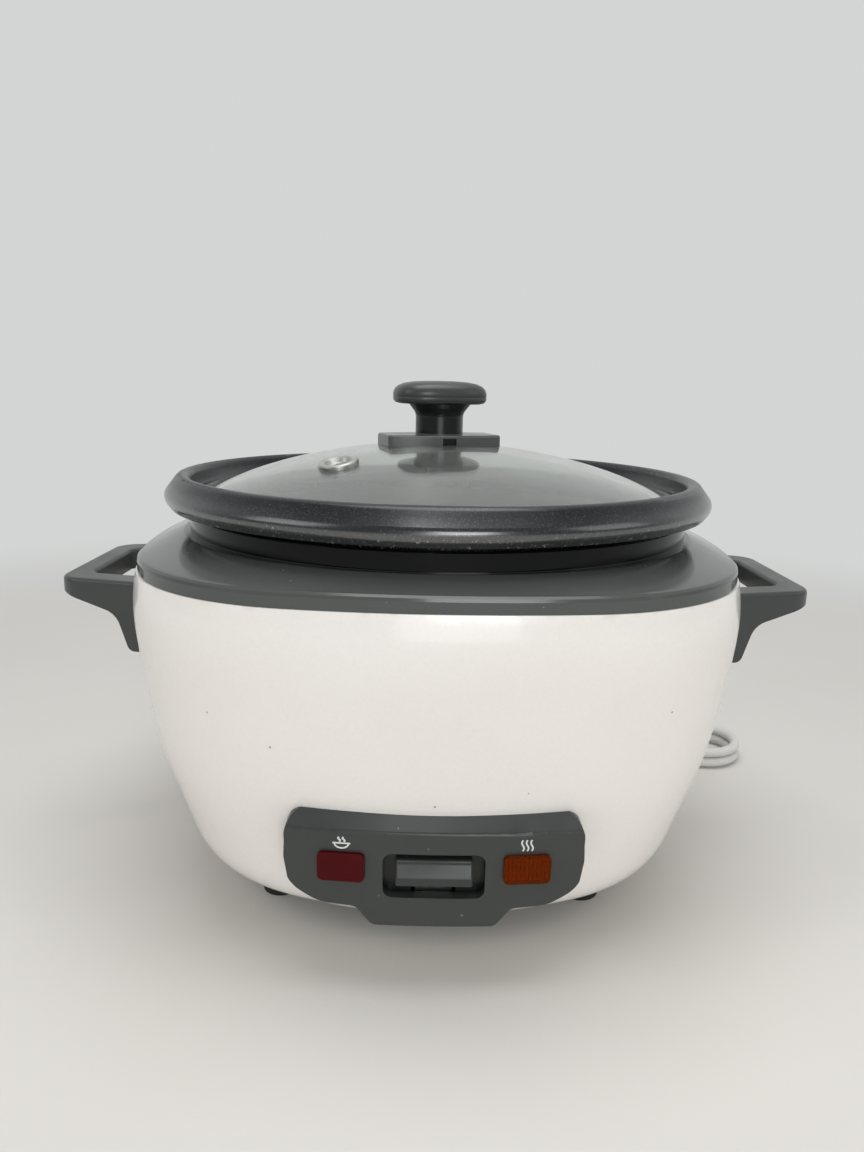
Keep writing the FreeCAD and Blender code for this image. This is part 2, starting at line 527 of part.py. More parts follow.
handle_screws = []
for number, (side, end) in enumerate(SCREW_PLACES, 1):
    screw = new_body("handle_screw_%d" % number)
    lathe(screw, [("0", "0 - screw_head"), ("handle_screw_radius * 2", "0 - screw_head", "screw_head_round"),
                  ("handle_screw_radius * 2", "0"), ("handle_screw_radius", "0"),
                  ("handle_screw_radius", "handle_screw_length"), ("0", "handle_screw_length")])
    handle_screws.append(place(screw, signed(side, SCREW_SEAT), signed(end, SCREW_SPREAD), BELLY,
                               OUTWARD[side]))

# Control panel: a curved band with a sloped shoulder, cut to its outline and seated on the wall
panel_blank = new_body("panel_blank")
PANEL_FACE_TOP = "(panel_top - panel_shoulder)"
PANEL_LOW = "(tongue_height - tongue_tuck)"
panel_profile = new_sketch(panel_blank, "panel_profile", "YZ", "0")
add_outline(panel_profile, [("0 - panel_radius + panel_bury", PANEL_LOW),
                            ("0 - panel_radius + panel_bury", "panel_top"),
                            ("0 - panel_radius + panel_shelf", "panel_top", "panel_shelf_round"),
                            ("0 - panel_radius", PANEL_FACE_TOP, "panel_shoulder_round"),
                            ("0 - panel_radius + panel_lean", PANEL_LOW)])
panel_turned = panel_blank.newObject("PartDesign::Revolution", "panel_turned")
panel_turned.Profile = panel_profile
panel_turned.ReferenceAxis = (panel_profile, ["V_Axis"])
panel_turned.Midplane = True
panel_turned.setExpression("Angle", bound("panel_sweep"))
panel_frame = rectangle("0 - 2 * panel_half", "2 * panel_half", "0", "panel_top + panel_bury")
PANEL_RIDGE = "panel_top + panel_top_lap"
PANEL_BROW = "panel_top - panel_brow"
CHEEK = "tongue_height + panel_cheek_rise"
TONGUE_ROOT = "tongue_height + tongue_rise"
panel_edge = [("panel_half - panel_top_taper", PANEL_RIDGE, "panel_top_round"),
              ("0 - panel_half + panel_top_taper", PANEL_RIDGE, "panel_top_round"),
              ("0 - panel_half", PANEL_BROW, "panel_side_round"),
              ("0 - panel_half + panel_cheek_taper", CHEEK, "panel_cheek_round"),
              ("0 - tongue_half - tongue_flare", TONGUE_ROOT, "tongue_root_round"),
              ("0 - tongue_half", "tongue_height", "tongue_round"),
              ("tongue_half", "tongue_height", "tongue_round"),
              ("tongue_half + tongue_flare", TONGUE_ROOT, "tongue_root_round"),
              ("panel_half - panel_cheek_taper", CHEEK, "panel_cheek_round"),
              ("panel_half", PANEL_BROW, "panel_side_round")]
pocket(panel_blank, "trim", "XZ", "0", [panel_frame, panel_edge])
SLOT_HALF = "(slot_width / 2)"
pocket(panel_blank, "slot", "XZ", "panel_radius - slot_depth",
       [rectangle("0 - " + SLOT_HALF, SLOT_HALF, "slot_bottom", "slot_top", "slot_round")],
       "slot_depth + slot_spare", upwards=True)
place(panel_blank, y=PANEL_CENTRE)


def lens(name, side, gap, back):
    body = new_body(name)
    half = "(lens_width / 2 + %s)" % gap
    tall = "(lens_tall / 2 + %s)" % gap
    pad(body, "block", "XZ", "panel_radius - " + back,
        [rectangle("0 - " + half, half, "lens_height - " + tall, "lens_height + " + tall, "lens_round")],
        back + " + lens_stand")
    place(body, y=PANEL_CENTRE, turn=FreeCAD.Rotation(Z_AXIS, side * size("lens_angle")))
    return body


HOLE_DEPTH = "(lens_depth + lens_spare)"
lens_holes = [lens("cook_lens_hole", -1, "screw_fit", HOLE_DEPTH),
              lens("warm_lens_hole", 1, "screw_fit", HOLE_DEPTH)]
control_panel = cut("control_panel", panel_blank, [wall_solid] + windows + lens_holes)
cook_lens = lens("cook_lens", -1, "0", "lens_depth")
warm_lens = lens("warm_lens", 1, "0", "lens_depth")

lamps = []
for name, side in (("cook_lamp", -1), ("warm_lamp", 1)):
    lamp = new_body(name)
    pad(lamp, "bulb", "XZ", "panel_radius - lens_depth - lamp_length", [("0", "lens_height", "lamp_radius")],
        "lamp_length")
    place(lamp, y=PANEL_CENTRE, turn=FreeCAD.Rotation(Z_AXIS, side * size("lens_angle")))
    lamps.append(lamp)

# Base plate with air slots, four feet and the screws that hold them
base_plate = new_body("base_plate")
BASE_INSET = "(shell_gauge + base_gap)"
base_outline = squircle(base_plate, "base_outline", HEM, BASE_HALF, "hem_side_radius - " + BASE_INSET,
                        "hem_corner_radius - " + BASE_INSET)
base_pad = base_plate.newObject("PartDesign::Pad", "base_pad")
base_pad.Profile = base_outline
base_pad.setExpression("Length", bound("base_gauge"))
air_slots = []
for step in (-3, -2, -1, 1, 2, 3):
    across = "%d * air_slot_pitch" % step
    air_slots.append(rectangle(across + " - air_slot_half", across + " + air_slot_half", "air_slot_near",
                               "air_slot_far", "air_slot_round"))
pocket(base_plate, "slots", "XY", HEM, air_slots)
FOOT_PLACES = [(1, 1), (1, -1), (-1, 1), (-1, -1)]
BASE_SCREW_HOLE = "base_screw_radius + screw_fit"
FOOT_BORE = "base_screw_radius * 2 + foot_recess_gap"
SCREW_END = BASE_TOP + " + base_screw_stand"
pocket(base_plate, "screw_holes", "XY", HEM,
       [(signed(sx, FOOT_X), signed(sy, FOOT_Y), BASE_SCREW_HOLE) for sx, sy in FOOT_PLACES])
feet = []
base_screws = []
for number, (sx, sy) in enumerate(FOOT_PLACES, 1):
    foot = new_body("foot_%d" % number)
    lathe(foot, [(BASE_SCREW_HOLE, "foot_recess"), (FOOT_BORE, "foot_recess"), (FOOT_BORE, "0"),
                 ("foot_radius - foot_taper", "0", "foot_round"), ("foot_radius", HEM),
                 (BASE_SCREW_HOLE, HEM)])
    feet.append(place(foot, signed(sx, FOOT_X), signed(sy, FOOT_Y)))
    screw = new_body("base_screw_%d" % number)
    lathe(screw, [("0", "foot_recess - screw_head"),
                  ("base_screw_radius * 2", "foot_recess - screw_head", "screw_head_round"),
                  ("base_screw_radius * 2", "foot_recess"), ("base_screw_radius", "foot_recess"),
                  ("base_screw_radius", SCREW_END), ("0", SCREW_END)])
    base_screws.append(place(screw, signed(sx, FOOT_X), signed(sy, FOOT_Y)))

# Liner round the pot, heater plate on its studs, and the tubular element in the plate
inner_liner = new_body("inner_liner")
LINER_IN = "(pot_radius + liner_gap)"
LINER_OUT = "(%s + liner_gauge)" % LINER_IN
LINER_FLOOR = "(liner_floor_height + liner_gauge)"
LEDGE = "(%s - liner_ledge)" % LINER_IN
FLANGE_EDGE = "(%s + liner_flange)" % LINER_OUT
lathe(inner_liner, [(LEDGE, "liner_floor_height"), (LINER_OUT, "liner_floor_height", "liner_round"),
                    (LINER_OUT, BRIM + " - liner_gauge"), (FLANGE_EDGE, BRIM + " - liner_gauge"),
                    (FLANGE_EDGE, BRIM), (LINER_IN, BRIM),
                    (LINER_IN, LINER_FLOOR, "liner_round - liner_gauge"), (LEDGE, LINER_FLOOR)])
heater_blank = new_body("heater_blank")
lathe(heater_blank, [("plate_bore", PLATE_UNDER), (PLATE_RADIUS, PLATE_UNDER, "plate_round"),
                     (PLATE_RADIUS, PLATE_TOP, "plate_top_round"),
                     ("plate_bore", PLATE_TOP, "plate_bore_round")])
groove = doc.addObject("Part::Torus", "element_groove")
groove.setExpression("Radius1", bound(ELEMENT_CIRCLE))
groove.setExpression("Radius2", bound("element_radius + push_fit"))
place(groove, z=PLATE_UNDER)
heater_plate = cut("heater_plate", heater_blank, [groove])
heating_element = new_body("heating_element")
element_profile = new_sketch(heating_element, "element_profile", "XZ", "0")
add_circle(element_profile, ELEMENT_CIRCLE, PLATE_UNDER, "element_radius")
element_ring = heating_element.newObject("PartDesign::Revolution", "element_ring")
element_ring.Profile = element_profile
element_ring.ReferenceAxis = (element_profile, ["V_Axis"])
element_ring.setExpression("Angle", bound("element_angle"))
terminals = []
for bearing in ("terminal_angle", "(element_angle - terminal_angle)"):
    terminals.append((ELEMENT_CIRCLE + " * cos(%s * 1deg)" % bearing,
                      ELEMENT_CIRCLE + " * sin(%s * 1deg)" % bearing, "terminal_radius"))
pad(heating_element, "terminals", "XY", PLATE_UNDER, terminals, "terminal_length", downwards=True)
plate_studs = []
for number, bearing in enumerate((90, 210, 330), 1):
    plate_studs.append(cylinder("plate_stud_%d" % number, "stud_radius", "stud_height",
                                STUD_CIRCLE + " * cos(%ddeg)" % bearing,
                                STUD_CIRCLE + " * sin(%ddeg)" % bearing, LINER_FLOOR))

# Temperature sensor: housing under the plate, sprung cap that meets the pot, magnet on its rod
sensor_housing = new_body("sensor_housing")
HOUSING_IN = "(housing_radius - housing_gauge)"
HOUSING_LIP = "housing_radius + housing_flange"
LIP_UNDER = PLATE_UNDER + " - housing_gauge"
lathe(sensor_housing, [("rod_radius + running_fit", HOUSING_FLOOR),
                       ("housing_radius", HOUSING_FLOOR, "housing_round"), ("housing_radius", LIP_UNDER),
                       (HOUSING_LIP, LIP_UNDER), (HOUSING_LIP, PLATE_UNDER),
                       (HOUSING_IN, PLATE_UNDER), (HOUSING_IN, HOUSING_FLOOR + " + housing_gauge"),
                       ("rod_radius + running_fit", HOUSING_FLOOR + " + housing_gauge")])
sensor_cap = new_body("sensor_cap")
SENSOR_IN = "(sensor_radius - sensor_gauge)"
SENSOR_UNDER = "(%s - sensor_gauge)" % SENSOR_TOP
SKIRT_LOW = SENSOR_TOP + " - sensor_skirt"
lathe(sensor_cap, [("0", SENSOR_UNDER), (SENSOR_IN, SENSOR_UNDER), (SENSOR_IN, SKIRT_LOW),
                   ("sensor_radius", SKIRT_LOW), ("sensor_radius", SENSOR_TOP, "sensor_round"),
                   ("0", SENSOR_TOP)])
push_rod = cylinder("push_rod", "rod_radius", "rod_length", z=ROD_FOOT)
latch_magnet = cylinder("latch_magnet", "magnet_radius", "magnet_gauge", z=MAGNET_FOOT)


def tube(path, radius):
    start = path.Edges[0]
    first = start.valueAt(start.FirstParameter)
    heading = start.tangentAt(start.FirstParameter)
    ring = Part.Wire([Part.makeCircle(radius, first, heading)])
    return path.makePipeShell([ring], True, False)


def spring(name, radius, wire, turns, low, high):
    """Coil of half turns, each a half circle in its own tilted plane, so that they join smoothly."""
    span = (high - low - wire) / (2 * turns)
    edges = []
    for half in range(2 * turns):
        side = 1 if half % 2 == 0 else -1
        z0 = low + wire / 2 + half * span
        reach = sqrt(4 * radius ** 2 + span ** 2) / 2
        edges.append(Part.Arc(V(0, -side * radius, z0), V(side * reach, 0, z0 + span / 2),
                              V(0, side * radius, z0 + span)).toShape())
    item = doc.addObject("Part::Feature", name)
    item.Label = name
    item.Shape = tube(Part.Wire(edges), wire / 2)
    return item


sensor_spring = spring("sensor_spring", size("spring_radius"), size("spring_wire"), int(size("spring_turns")),
                       size(HOUSING_FLOOR + " + housing_gauge + touch_gap"),
                       size(SENSOR_UNDER + " - touch_gap"))

# Lever: cranked arm on a pin, button in the panel's slot, bracket, return spring and switch
lever_arm = new_body("lever_arm")
REAR_TOP = "(lever_rear_height + lever_gauge)"
FRONT_TOP = "(lever_front_height + lever_gauge)"
pad(lever_arm, "arm", "YZ", "0",
    [[("rod_radius + lever_tail", "lever_rear_height"), ("rod_radius + lever_tail", REAR_TOP),
      (PIVOT_Y + " + crank_rear", REAR_TOP), (PIVOT_Y + " - crank_front", FRONT_TOP),
      ("lever_gauge - " + LEVER_FRONT, FRONT_TOP), ("lever_gauge - " + LEVER_FRONT, "lever_head"),
      ("0 - " + LEVER_FRONT, "lever_head"), ("0 - " + LEVER_FRONT, "lever_front_height"),
      (PIVOT_Y + " - crank_front - crank_shift", "lever_front_height"),
      (PIVOT_Y + " + crank_rear - crank_shift", "lever_rear_height")]], "2 * lever_half", both_ways=True)
pad(lever_arm, "boss", "YZ", "0", [(PIVOT_Y, "pivot_height", "lever_boss")], "2 * lever_half",
    both_ways=True)
pocket(lever_arm, "pin_hole", "YZ", "0", [(PIVOT_Y, "pivot_height", "pin_radius + running_fit")])
lever_pin = cylinder("lever_pin", "pin_radius", "2 * (bracket_half + pin_stand)",
                     "0 - bracket_half - pin_stand", PIVOT_Y, "pivot_height", ALONG_X)
lever_bracket = new_body("lever_bracket")
pad(lever_bracket, "ears", "YZ", "0",
    [[(PIVOT_Y + " + ear_foot", BASE_TOP), (PIVOT_Y + " + ear_half", "pivot_height + ear_rise", "ear_round"),
      (PIVOT_Y + " - ear_half", "pivot_height + ear_rise", "ear_round"),
      (PIVOT_Y + " - ear_foot", BASE_TOP)]],
    "2 * bracket_half", both_ways=True)
EAR_IN = "(bracket_half - bracket_gauge)"
pocket(lever_bracket, "fork", "XZ", "0",
       [rectangle("0 - " + EAR_IN, EAR_IN, BASE_TOP + " + bracket_gauge", "pivot_height + 2 * ear_rise")])
pocket(lever_bracket, "pin_hole", "YZ", "0", [(PIVOT_Y, "pivot_height", "pin_radius + press_fit")])
lever_button = new_body("lever_button")
BUTTON_TOP = "(button_bottom + button_tall)"
BUTTON_BACK = "(slot_depth - %s - button_gap)" % PANEL_FACE
BUTTON_FRONT = "(0 - %s - button_depth)" % LEVER_FRONT
pad(lever_button, "neck", "XZ", LEVER_FRONT,
    [rectangle("0 - button_neck", "button_neck", "button_bottom + button_neck_foot", "lever_head")],
    "0 - %s - %s + button_neck_lap" % (BUTTON_BACK, LEVER_FRONT))
pad(lever_button, "block", "YZ", "0",
    [[(BUTTON_BACK, "button_bottom"), (BUTTON_BACK, BUTTON_TOP),
      (BUTTON_FRONT + " + button_slope", BUTTON_TOP, "button_top_round"),
      (BUTTON_FRONT, "button_bottom + button_lip", "button_lip_round"),
      (BUTTON_FRONT, "button_bottom", "button_foot_round")]], "2 * button_half", both_ways=True)
lever_spring = spring("lever_spring", size("lever_spring_radius"), size("lever_spring_wire"),
                      int(size("lever_spring_turns")), size(BASE_TOP + " + touch_gap"),
                      size("lever_front_height - touch_gap"))
lever_spring.Placement.Base.y = size(LEVER_SPRING_Y)
micro_switch = new_body("micro_switch")
SWITCH_BACK = "(%s + switch_length / 2)" % SWITCH_Y
SWITCH_FRONT = "(%s - switch_length / 2)" % SWITCH_Y
pad(micro_switch, "case", "XY", BASE_TOP,
    [rectangle("0 - switch_half", "switch_half", SWITCH_FRONT, SWITCH_BACK, "switch_round")],
    "switch_top - " + BASE_TOP)
WELL = "(plunger_half + touch_gap)"
pocket(micro_switch, "well", "XY", "switch_top",
       [rectangle("0 - " + WELL, WELL, SWITCH_Y + " - " + WELL, SWITCH_Y + " + " + WELL)],
       "plunger_root + plunger_spare")
switch_plunger = box("switch_plunger", "0 - plunger_half", "plunger_half", SWITCH_Y + " - plunger_half",
                     SWITCH_Y + " + plunger_half", "switch_top - plunger_root",
                     "lever_front_height - touch_gap")

# Small electrical pieces under the plate and on the base
warm_thermostat = cylinder("warm_thermostat", "thermostat_radius", "thermostat_tall", "thermostat_offset",
                           "thermostat_offset", PLATE_UNDER + " - thermostat_tall")
thermal_fuse = cylinder("thermal_fuse", "fuse_radius", "fuse_length",
                        "0 - thermostat_offset - fuse_length / 2", "thermostat_offset",
                        PLATE_UNDER + " - fuse_radius - screw_fit", ALONG_X)
terminal_block = box("terminal_block", "gland_x - block_width / 2", "gland_x + block_width / 2", BLOCK_Y,
                     BLOCK_Y + " + block_length", BASE_TOP, BASE_TOP + " + block_tall")

# Pot: one sheet of metal with a seat for the lid and a rolled rim
pot_blank = new_body("pot_blank")
CREST_IN = "(%s + mouth_flare)" % MOUTH
CREST_OUT = "(%s + crest_width)" % CREST_IN
BEAD_OUT = "(%s + bead_reach)" % CREST_OUT
BEAD_LOW = "(%s - bead_drop)" % CREST
BEAD_TIP = "(%s - bead_drop - bead_tail)" % CREST
# The rim is slanting sheet, so its thickness along each step is a share of the gauge
CREST_WALL = "pot_gauge * 0.9"
LIP_WALL = "pot_gauge * 0.5"
BEAD_WALL = "pot_gauge * 1.35"
TAIL_WALL = "pot_gauge * 0.85"
lathe(pot_blank, [
    ("0", POT_BOTTOM), (POT_BASE, POT_BOTTOM, "pot_heel"),
    ("pot_radius", SEAT + " - pot_gauge", "seat_round"),
    (MOUTH + " + pot_gauge", SEAT + " - pot_gauge", "rim_fold_round"),
    ("%s + %s" % (CREST_IN, CREST_WALL), CREST + " - pot_gauge", "rim_under_round"),
    ("%s - %s" % (CREST_OUT, LIP_WALL), CREST + " - pot_gauge", "rim_under_round"),
    ("%s - %s" % (BEAD_OUT, BEAD_WALL), BEAD_LOW, "rim_fold_round"),
    ("%s - bead_tuck - %s" % (BEAD_OUT, TAIL_WALL), BEAD_TIP + " + bead_tip_rise"),
    (BEAD_OUT + " - bead_tuck", BEAD_TIP), (BEAD_OUT, BEAD_LOW, "bead_round"),
    (CREST_OUT, CREST, "crest_round"), (CREST_IN, CREST, "crest_inner_round"), (MOUTH, SEAT, "seat_round"),
    (POT_INNER, SEAT, "seat_round"),
    (POT_BASE + " - pot_gauge", POT_BOTTOM + " + pot_gauge", "pot_heel - pot_gauge"),
    ("0", POT_BOTTOM + " + pot_gauge")])
RIM_JOINT = "(%s - rim_joint_drop)" % SEAT
rim_space = cylinder("rim_space", BEAD_OUT + " + bead_round", "%s - %s" % (CREST, RIM_JOINT), z=RIM_JOINT)
bowl_space = cylinder("bowl_space", "pot_radius + pot_gauge", "%s - %s" % (RIM_JOINT, POT_BOTTOM),
                      z=POT_BOTTOM)
inner_pot = cut("inner_pot", pot_blank, [rim_space])
pot_rim = cut("pot_rim", pot_blank, [bowl_space])

# Lid: domed glass in a steel rim, knob through its middle and a vent
def dome(name, radius):
    item = doc.addObject("Part::Sphere", name)
    item.setExpression("Radius", bound(radius))
    return place(item, z=DOME_CENTRE)


dome_outside = dome("dome_outside", "dome_radius")
dome_inside = dome("dome_inside", DOME_INNER)
glass_disc = cylinder("glass_disc", GLASS_EDGE, "2 * (%s - %s)" % (APEX, LID_BOTTOM), z=LID_BOTTOM)
glass_cap = doc.addObject("Part::Common", "glass_cap")
glass_cap.Base = glass_disc
glass_cap.Tool = dome_outside
vent_lean = asin(sqrt(size("vent_x") ** 2 + size("vent_y") ** 2) / size("dome_radius"))
vent_bearing = atan2(size("vent_y"), size("vent_x"))
VENT_TURN = FreeCAD.Rotation(Z_AXIS, degrees(vent_bearing)) * FreeCAD.Rotation(V(0, 1, 0), degrees(vent_lean))
VENT_FOOT = V(0, 0, size(DOME_CENTRE)) + VENT_TURN.multVec(V(0, 0, size(DOME_INNER + " - vent_bury")))
vent_bore = cylinder("vent_bore", "vent_neck + screw_fit", "glass_gauge + 2 * vent_bury")
vent_bore.setExpression("Placement.Base.x", None)
vent_bore.setExpression("Placement.Base.y", None)
vent_bore.setExpression("Placement.Base.z", None)
vent_bore.Placement = FreeCAD.Placement(VENT_FOOT, VENT_TURN)
knob_hole = cylinder("knob_hole", "knob_bore + knob_hole_gap", "3 * glass_gauge",
                     z=GLASS_UNDER + " - glass_gauge")
lid_glass = cut("lid_glass", glass_cap, [dome_inside, vent_bore, knob_hole])
rim_blank = new_body("rim_blank")
lathe(rim_blank, [(LID_EDGE + " - rim_lap", LID_BOTTOM), (LID_EDGE, LID_BOTTOM, "rim_foot_round"),
                  (LID_EDGE, LID_BOTTOM + " + rim_height - rim_slope", "rim_top_round"),
                  (LID_EDGE + " - rim_lap", LID_BOTTOM + " + rim_height")])
lid_rim = cut("lid_rim", rim_blank, [lid_glass])
vent_blank = new_body("vent_blank")
VENT_FLOOR = "vent_bury - vent_foot"
VENT_SEAT = "vent_bury + glass_gauge"
VENT_TOP = VENT_SEAT + " + vent_stand"
VENT_SHOULDER = VENT_SEAT + " - touch_gap"
VENT_CLIP = "vent_bury + touch_gap"
lathe(vent_blank, [("vent_hole", VENT_FLOOR), ("vent_neck + vent_foot_lip", VENT_FLOOR, "vent_small_round"),
                   ("vent_neck + vent_foot_lip", VENT_CLIP), ("vent_neck", VENT_CLIP),
                   ("vent_neck", VENT_SHOULDER), ("vent_radius", VENT_SHOULDER),
                   ("vent_radius", VENT_TOP, "vent_round"),
                   ("vent_neck + vent_lip", VENT_TOP, "vent_small_round"),
                   ("vent_neck - vent_dish", VENT_SEAT, "vent_small_round"), ("vent_hole", VENT_SEAT)])
vent_blank.Placement = FreeCAD.Placement(VENT_FOOT, VENT_TURN)
vent_grommet = cut("vent_grommet", vent_blank, [lid_glass])

KNOB_TURN = FreeCAD.Rotation(Z_AXIS, size("knob_turn"))


def knob_outline(half, flat, depth, bulge):
    return [("0 - " + half, "0 - " + flat, "knob_corner"), ("0", "0 - " + depth, bulge),
            (half, "0 - " + flat, "knob_corner"), (half, flat, "knob_corner"), ("0", depth, bulge),
            ("0 - " + half, flat, "knob_corner")]


knob_blank = new_body("knob_blank")
KNOB_FOOT = APEX + " - knob_bury"
pad(knob_blank, "flange", "XY", KNOB_FOOT,
    [knob_outline("flange_half", "flange_flat", "flange_depth", "flange_bulge")], "knob_bury + flange_rise")
round_edges(knob_blank, [FLANGE_TOP], "flange_round")
lathe(knob_blank, [("0", APEX), ("stem_radius", APEX),
                   ("stem_radius", CAP_UNDER + " - stem_flare_rise", "stem_flare_round"),
                   ("stem_radius + stem_flare", CAP_UNDER), ("0", CAP_UNDER)], "stem")
pocket(knob_blank, "bore", "XY", APEX, [("0", "0", "knob_bore")])
NOTCH_HALF = "(notch_width / 2)"
pocket(knob_blank, "notch", "XZ", "flange_depth - notch_depth",
       [rectangle("0 - " + NOTCH_HALF, NOTCH_HALF, KNOB_FOOT, APEX + " + notch_rise")], "2 * notch_depth",
       upwards=True)
knob_blank.Placement.Rotation = KNOB_TURN
knob_base = cut("knob_base", knob_blank, [dome_outside])
knob_cap = new_body("knob_cap")
pad(knob_cap, "cap", "XY", CAP_UNDER, [knob_outline("cap_half", "cap_flat", "cap_depth", "cap_bulge")],
    "cap_gauge")
round_edges(knob_cap, [CAP_UNDER, CAP_UNDER + " + cap_gauge"], "cap_round")
knob_cap.Placement.Rotation = KNOB_TURN
retainer_blank = new_body("retainer_blank")
RETAINER_LOW = "(%s - retainer_depth)" % GLASS_UNDER
RETAINER_TOP = GLASS_UNDER + " + retainer_bury"
lathe(retainer_blank, [("knob_bore", RETAINER_LOW), ("retainer_radius", RETAINER_LOW, "retainer_round"),
                       ("retainer_radius", RETAINER_TOP), ("knob_bore", RETAINER_TOP)])
knob_retainer = cut("knob_retainer", retainer_blank, [lid_glass])
knob_screw = new_body("knob_screw")
SHANK = "(knob_bore - push_fit)"
SHANK_END = CAP_UNDER + " - knob_screw_gap"
HEAD_LOW = RETAINER_LOW + " - screw_head"
lathe(knob_screw, [("0", HEAD_LOW), (SHANK + " * 2", HEAD_LOW, "screw_head_round"),
                   (SHANK + " * 2", RETAINER_LOW), (SHANK, RETAINER_LOW), (SHANK, SHANK_END),
                   ("0", SHANK_END)])

# Cord: gland through the wall, a free stretch down to the table, and a tied hank with its plug
gland_blank = new_body("gland_blank")
lathe(gland_blank, [("0", "0 - gland_bury"), ("gland_flange", "0 - gland_bury"),
                    ("gland_flange", "gland_flange_stand", "gland_flange_round"),
                    ("gland_tip + gland_cone", "gland_flange_stand + gland_cone"),
                    ("gland_tip", "gland_length"), ("0", "gland_length")])
place(gland_blank, "gland_x", GLAND_SEAT, "gland_height", ALONG_Y)
gland_boot = cut("gland_boot", gland_blank, [wall_solid])
gland_nut = new_body("gland_nut")
lathe(gland_nut, [("0", "0 - gland_reach"), ("gland_flange", "0 - gland_reach", "screw_head_round"),
                  ("gland_flange", "0 - gland_bury"), ("gland_neck", "0 - gland_bury"),
                  ("gland_neck", "gland_flange_stand"), ("0", "gland_flange_stand")])
place(gland_nut, "gland_x", GLAND_SEAT, "gland_height", ALONG_Y)
cord_gland = fuse("cord_gland", [gland_boot, gland_nut])

CORD_RADIUS = size("cord_diameter") / 2
LOW_LAYER = CORD_RADIUS + size("tie_gap + tie_gauge + floor_gap")
HIGH_LAYER = LOW_LAYER + size("layer_pitch")
LOOP_LEFT = V(80, 158, 0)
LOOP_RIGHT = V(195, 113, 0)
RUN = (LOOP_RIGHT - LOOP_LEFT).Length
ALONG = (LOOP_RIGHT - LOOP_LEFT).normalize()
ACROSS = V(-ALONG.y, ALONG.x, 0)


def hank_point(u, v, z):
    return LOOP_LEFT + ALONG * u + ACROSS * v + V(0, 0, z)


def hank_run(side, z, forward):
    """One run of a loop: out at its ends, drawn in at the waist, four tangent arcs."""
    wide = size("loop_radius")
    slim = size("waist_half")
    bend = ((RUN / 2) ** 2 + (wide - slim) ** 2) / (4 * (wide - slim))
    swing = asin(RUN / 4 / bend)

    def outer(turn):
        return bend * sin(turn), wide - bend + bend * cos(turn)

    def inner(turn):
        return RUN / 2 - bend * sin(turn), slim + bend - bend * cos(turn)

    half = [outer(0), outer(swing / 2), outer(swing), inner(swing / 2), inner(0)]
    whole = half + [(RUN - u, v) for u, v in half[-2::-1]]
    points = [hank_point(u, side * v, z) for u, v in whole]
    if not forward:
        points.reverse()
    return [Part.Arc(points[i], points[i + 1], points[i + 2]).toShape() for i in range(0, 8, 2)]


def hank_turn(u, start_side, z0, z1):
    """Half turn round one end of the loop, in a plane tilted by its climb."""
    wide = size("loop_radius")
    reach = sqrt(wide ** 2 + ((z1 - z0) / 2) ** 2)
    out = 1 if u > 0 else -1
    return Part.Arc(hank_point(u, start_side * wide, z0), hank_point(u + out * reach, 0, (z0 + z1) / 2),
                    hank_point(u, -start_side * wide, z1)).toShape()


hank_start = hank_point(-size("end_run"), size("loop_radius"), LOW_LAYER)
hank_end = hank_point(-size("plug_run"), -size("loop_radius"), HIGH_LAYER)
hank_edges = [Part.LineSegment(hank_start, hank_point(0, size("loop_radius"), LOW_LAYER)).toShape()]
hank_edges += hank_run(1, LOW_LAYER, True)
hank_edges.append(hank_turn(RUN, 1, LOW_LAYER, LOW_LAYER))
hank_edges += hank_run(-1, LOW_LAYER, False)
hank_edges.append(hank_turn(0, -1, LOW_LAYER, HIGH_LAYER))
hank_edges += hank_run(1, HIGH_LAYER, True)
hank_edges.append(hank_turn(RUN, 1, HIGH_LAYER, HIGH_LAYER))
hank_edges += hank_run(-1, HIGH_LAYER, False)
hank_edges.append(Part.LineSegment(hank_point(0, -size("loop_radius"), HIGH_LAYER), hank_end).toShape())
hank_path = Part.Wire(hank_edges)
cord_hank = doc.addObject("Part::Feature", "cord_hank")
cord_hank.Label = "cord_hank"
cord_hank.Shape = tube(hank_path, CORD_RADIUS)


def least_self_gap(edges, step):
    points = []
    travelled = 0.0
    for edge in edges:
        count = max(2, int(edge.Length / step))
        for i in range(count):
            point = edge.valueAt(edge.getParameterByLength(edge.Length * i / count))
            points.append((travelled + edge.Length * i / count, point))
        travelled += edge.Length
    least = 1e9
    for i, (place_a, a) in enumerate(points):
        for place_b, b in points[i + 1:]:
            if place_b - place_a > 4 * size("cord_diameter"):
                least = min(least, a.distanceToPoint(b))
    return least - size("cord_diameter")


BEND_SHARE = 0.45


def cord_path(points):
    """Straight runs joined by tangent arcs, each as large as its two runs allow."""
    edges = []
    bends = []
    at = points[0]
    for i in range(1, len(points) - 1):
        back = points[i - 1] - points[i]
        ahead = points[i + 1] - points[i]
        trim = BEND_SHARE * min(back.Length, ahead.Length)
        back.normalize()
        ahead.normalize()
        turn = pi - acos(back.dot(ahead))
        bend = trim / tan(turn / 2)
        middle = points[i] + (back + ahead).normalize() * (bend / cos(turn / 2) - bend)
        edges.append(Part.LineSegment(at, points[i] + back * trim).toShape())
        edges.append(Part.Arc(points[i] + back * trim, middle, points[i] + ahead * trim).toShape())
        at = points[i] + ahead * trim
        bends.append(round(bend, 1))
    edges.append(Part.LineSegment(at, points[-1]).toShape())
    return Part.Wire(edges), bends


